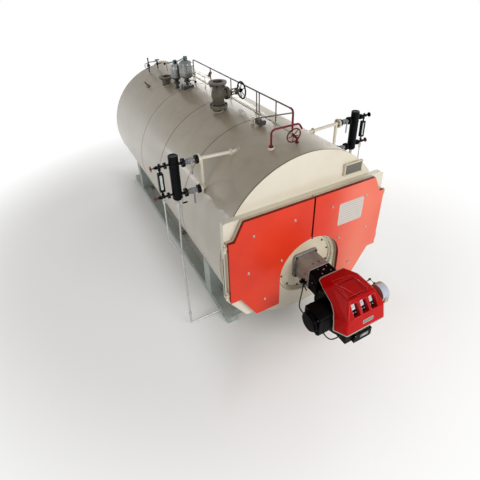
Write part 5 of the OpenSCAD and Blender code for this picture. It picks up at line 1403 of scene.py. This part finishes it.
def studio():
    """A pale floor that keeps the object's shadow, a white background and soft lamps all round."""
    scene = bpy.context.scene
    scene.view_settings.view_transform = "Standard"
    world = bpy.data.worlds.new("studio_world")
    world.use_nodes = True
    tree = world.node_tree
    tree.nodes.clear()
    out = tree.nodes.new("ShaderNodeOutputWorld")
    mix = tree.nodes.new("ShaderNodeMixShader")
    sky, clean = tree.nodes.new("ShaderNodeBackground"), tree.nodes.new("ShaderNodeBackground")
    for ground, colour, strength in ((sky, SKY_TINT, SKY_LEVEL), (clean, WHITE, 1.0)):
        ground.inputs["Color"].default_value, ground.inputs["Strength"].default_value = colour, strength
    path = tree.nodes.new("ShaderNodeLightPath")
    link = tree.links.new
    clear = path.outputs[SEEN_RAYS[0]]
    for ray in SEEN_RAYS[1:]:
        either = tree.nodes.new("ShaderNodeMath")
        either.operation = "MAXIMUM"
        link(clear, either.inputs[0])
        link(path.outputs[ray], either.inputs[1])
        clear = either.outputs[0]
    link(clear, mix.inputs[0])
    link(sky.outputs[0], mix.inputs[1])
    link(clean.outputs[0], mix.inputs[2])
    link(mix.outputs[0], out.inputs["Surface"])
    scene.world = world

    mesh = bpy.data.meshes.new("floor")
    mesh.from_pydata([(x * FLOOR_HALF, y * FLOOR_HALF, 0) for x, y in ((-1, -1), (1, -1), (1, 1), (-1, 1))],
                     [],
                     [(0, 1, 2, 3)])
    floor = bpy.data.objects.new("floor", mesh)
    scene.collection.objects.link(floor)
    f = Finish("pale_floor")
    away = (f.axis("X") ** 2.0 + f.axis("Y") ** 2.0) ** 0.5
    rays = [f.add("ShaderNodeLightPath", {}, {}, ray) for ray in SEEN_RAYS]
    seen = rays[0].higher(rays[1]).higher(rays[2])
    beside = f.axis("X").size().step(0.8, 1.7).higher(f.axis("Y").size().step(2.4, 3.4))
    far = (away.step(3.2, 6.5) + beside * 0.35).lower(1.0) * seen
    white = f.add("ShaderNodeEmission", {}, {"Color": WHITE, "Strength": 1.0}, "Emission")
    body = Wire(f, f.shader.outputs["BSDF"])
    blend = f.add("ShaderNodeMixShader", {}, {0: far, 1: body, 2: white}, "Shader")
    f.feed(f.tree.nodes["Material Output"], {"Surface": blend})
    mesh.materials.append(f.done(colour=linear(242, 241, 239), rough=0.9))

    def lamp(name, place, size, power, aim=(0.0, -0.6, 1.3), high=None):
        data = bpy.data.lights.new(name, "AREA")
        data.shape, data.size, data.energy = "RECTANGLE" if high else "DISK", size, power
        data.size_y = high or size
        thing = bpy.data.objects.new(name, data)
        thing.location = place
        thing.rotation_mode = "QUATERNION"
        thing.rotation_quaternion = (Vector(aim) - Vector(place)).to_track_quat("-Z", "Y")
        scene.collection.objects.link(thing)

    for name, place, size, power in LAMPS:
        lamp(name, place, size, power)
    lamp("strip_lamp", (-8.0, 7.5, 2.3), 9.0, 110.0, (0.0, 7.5, 2.3), 0.6)


studio()
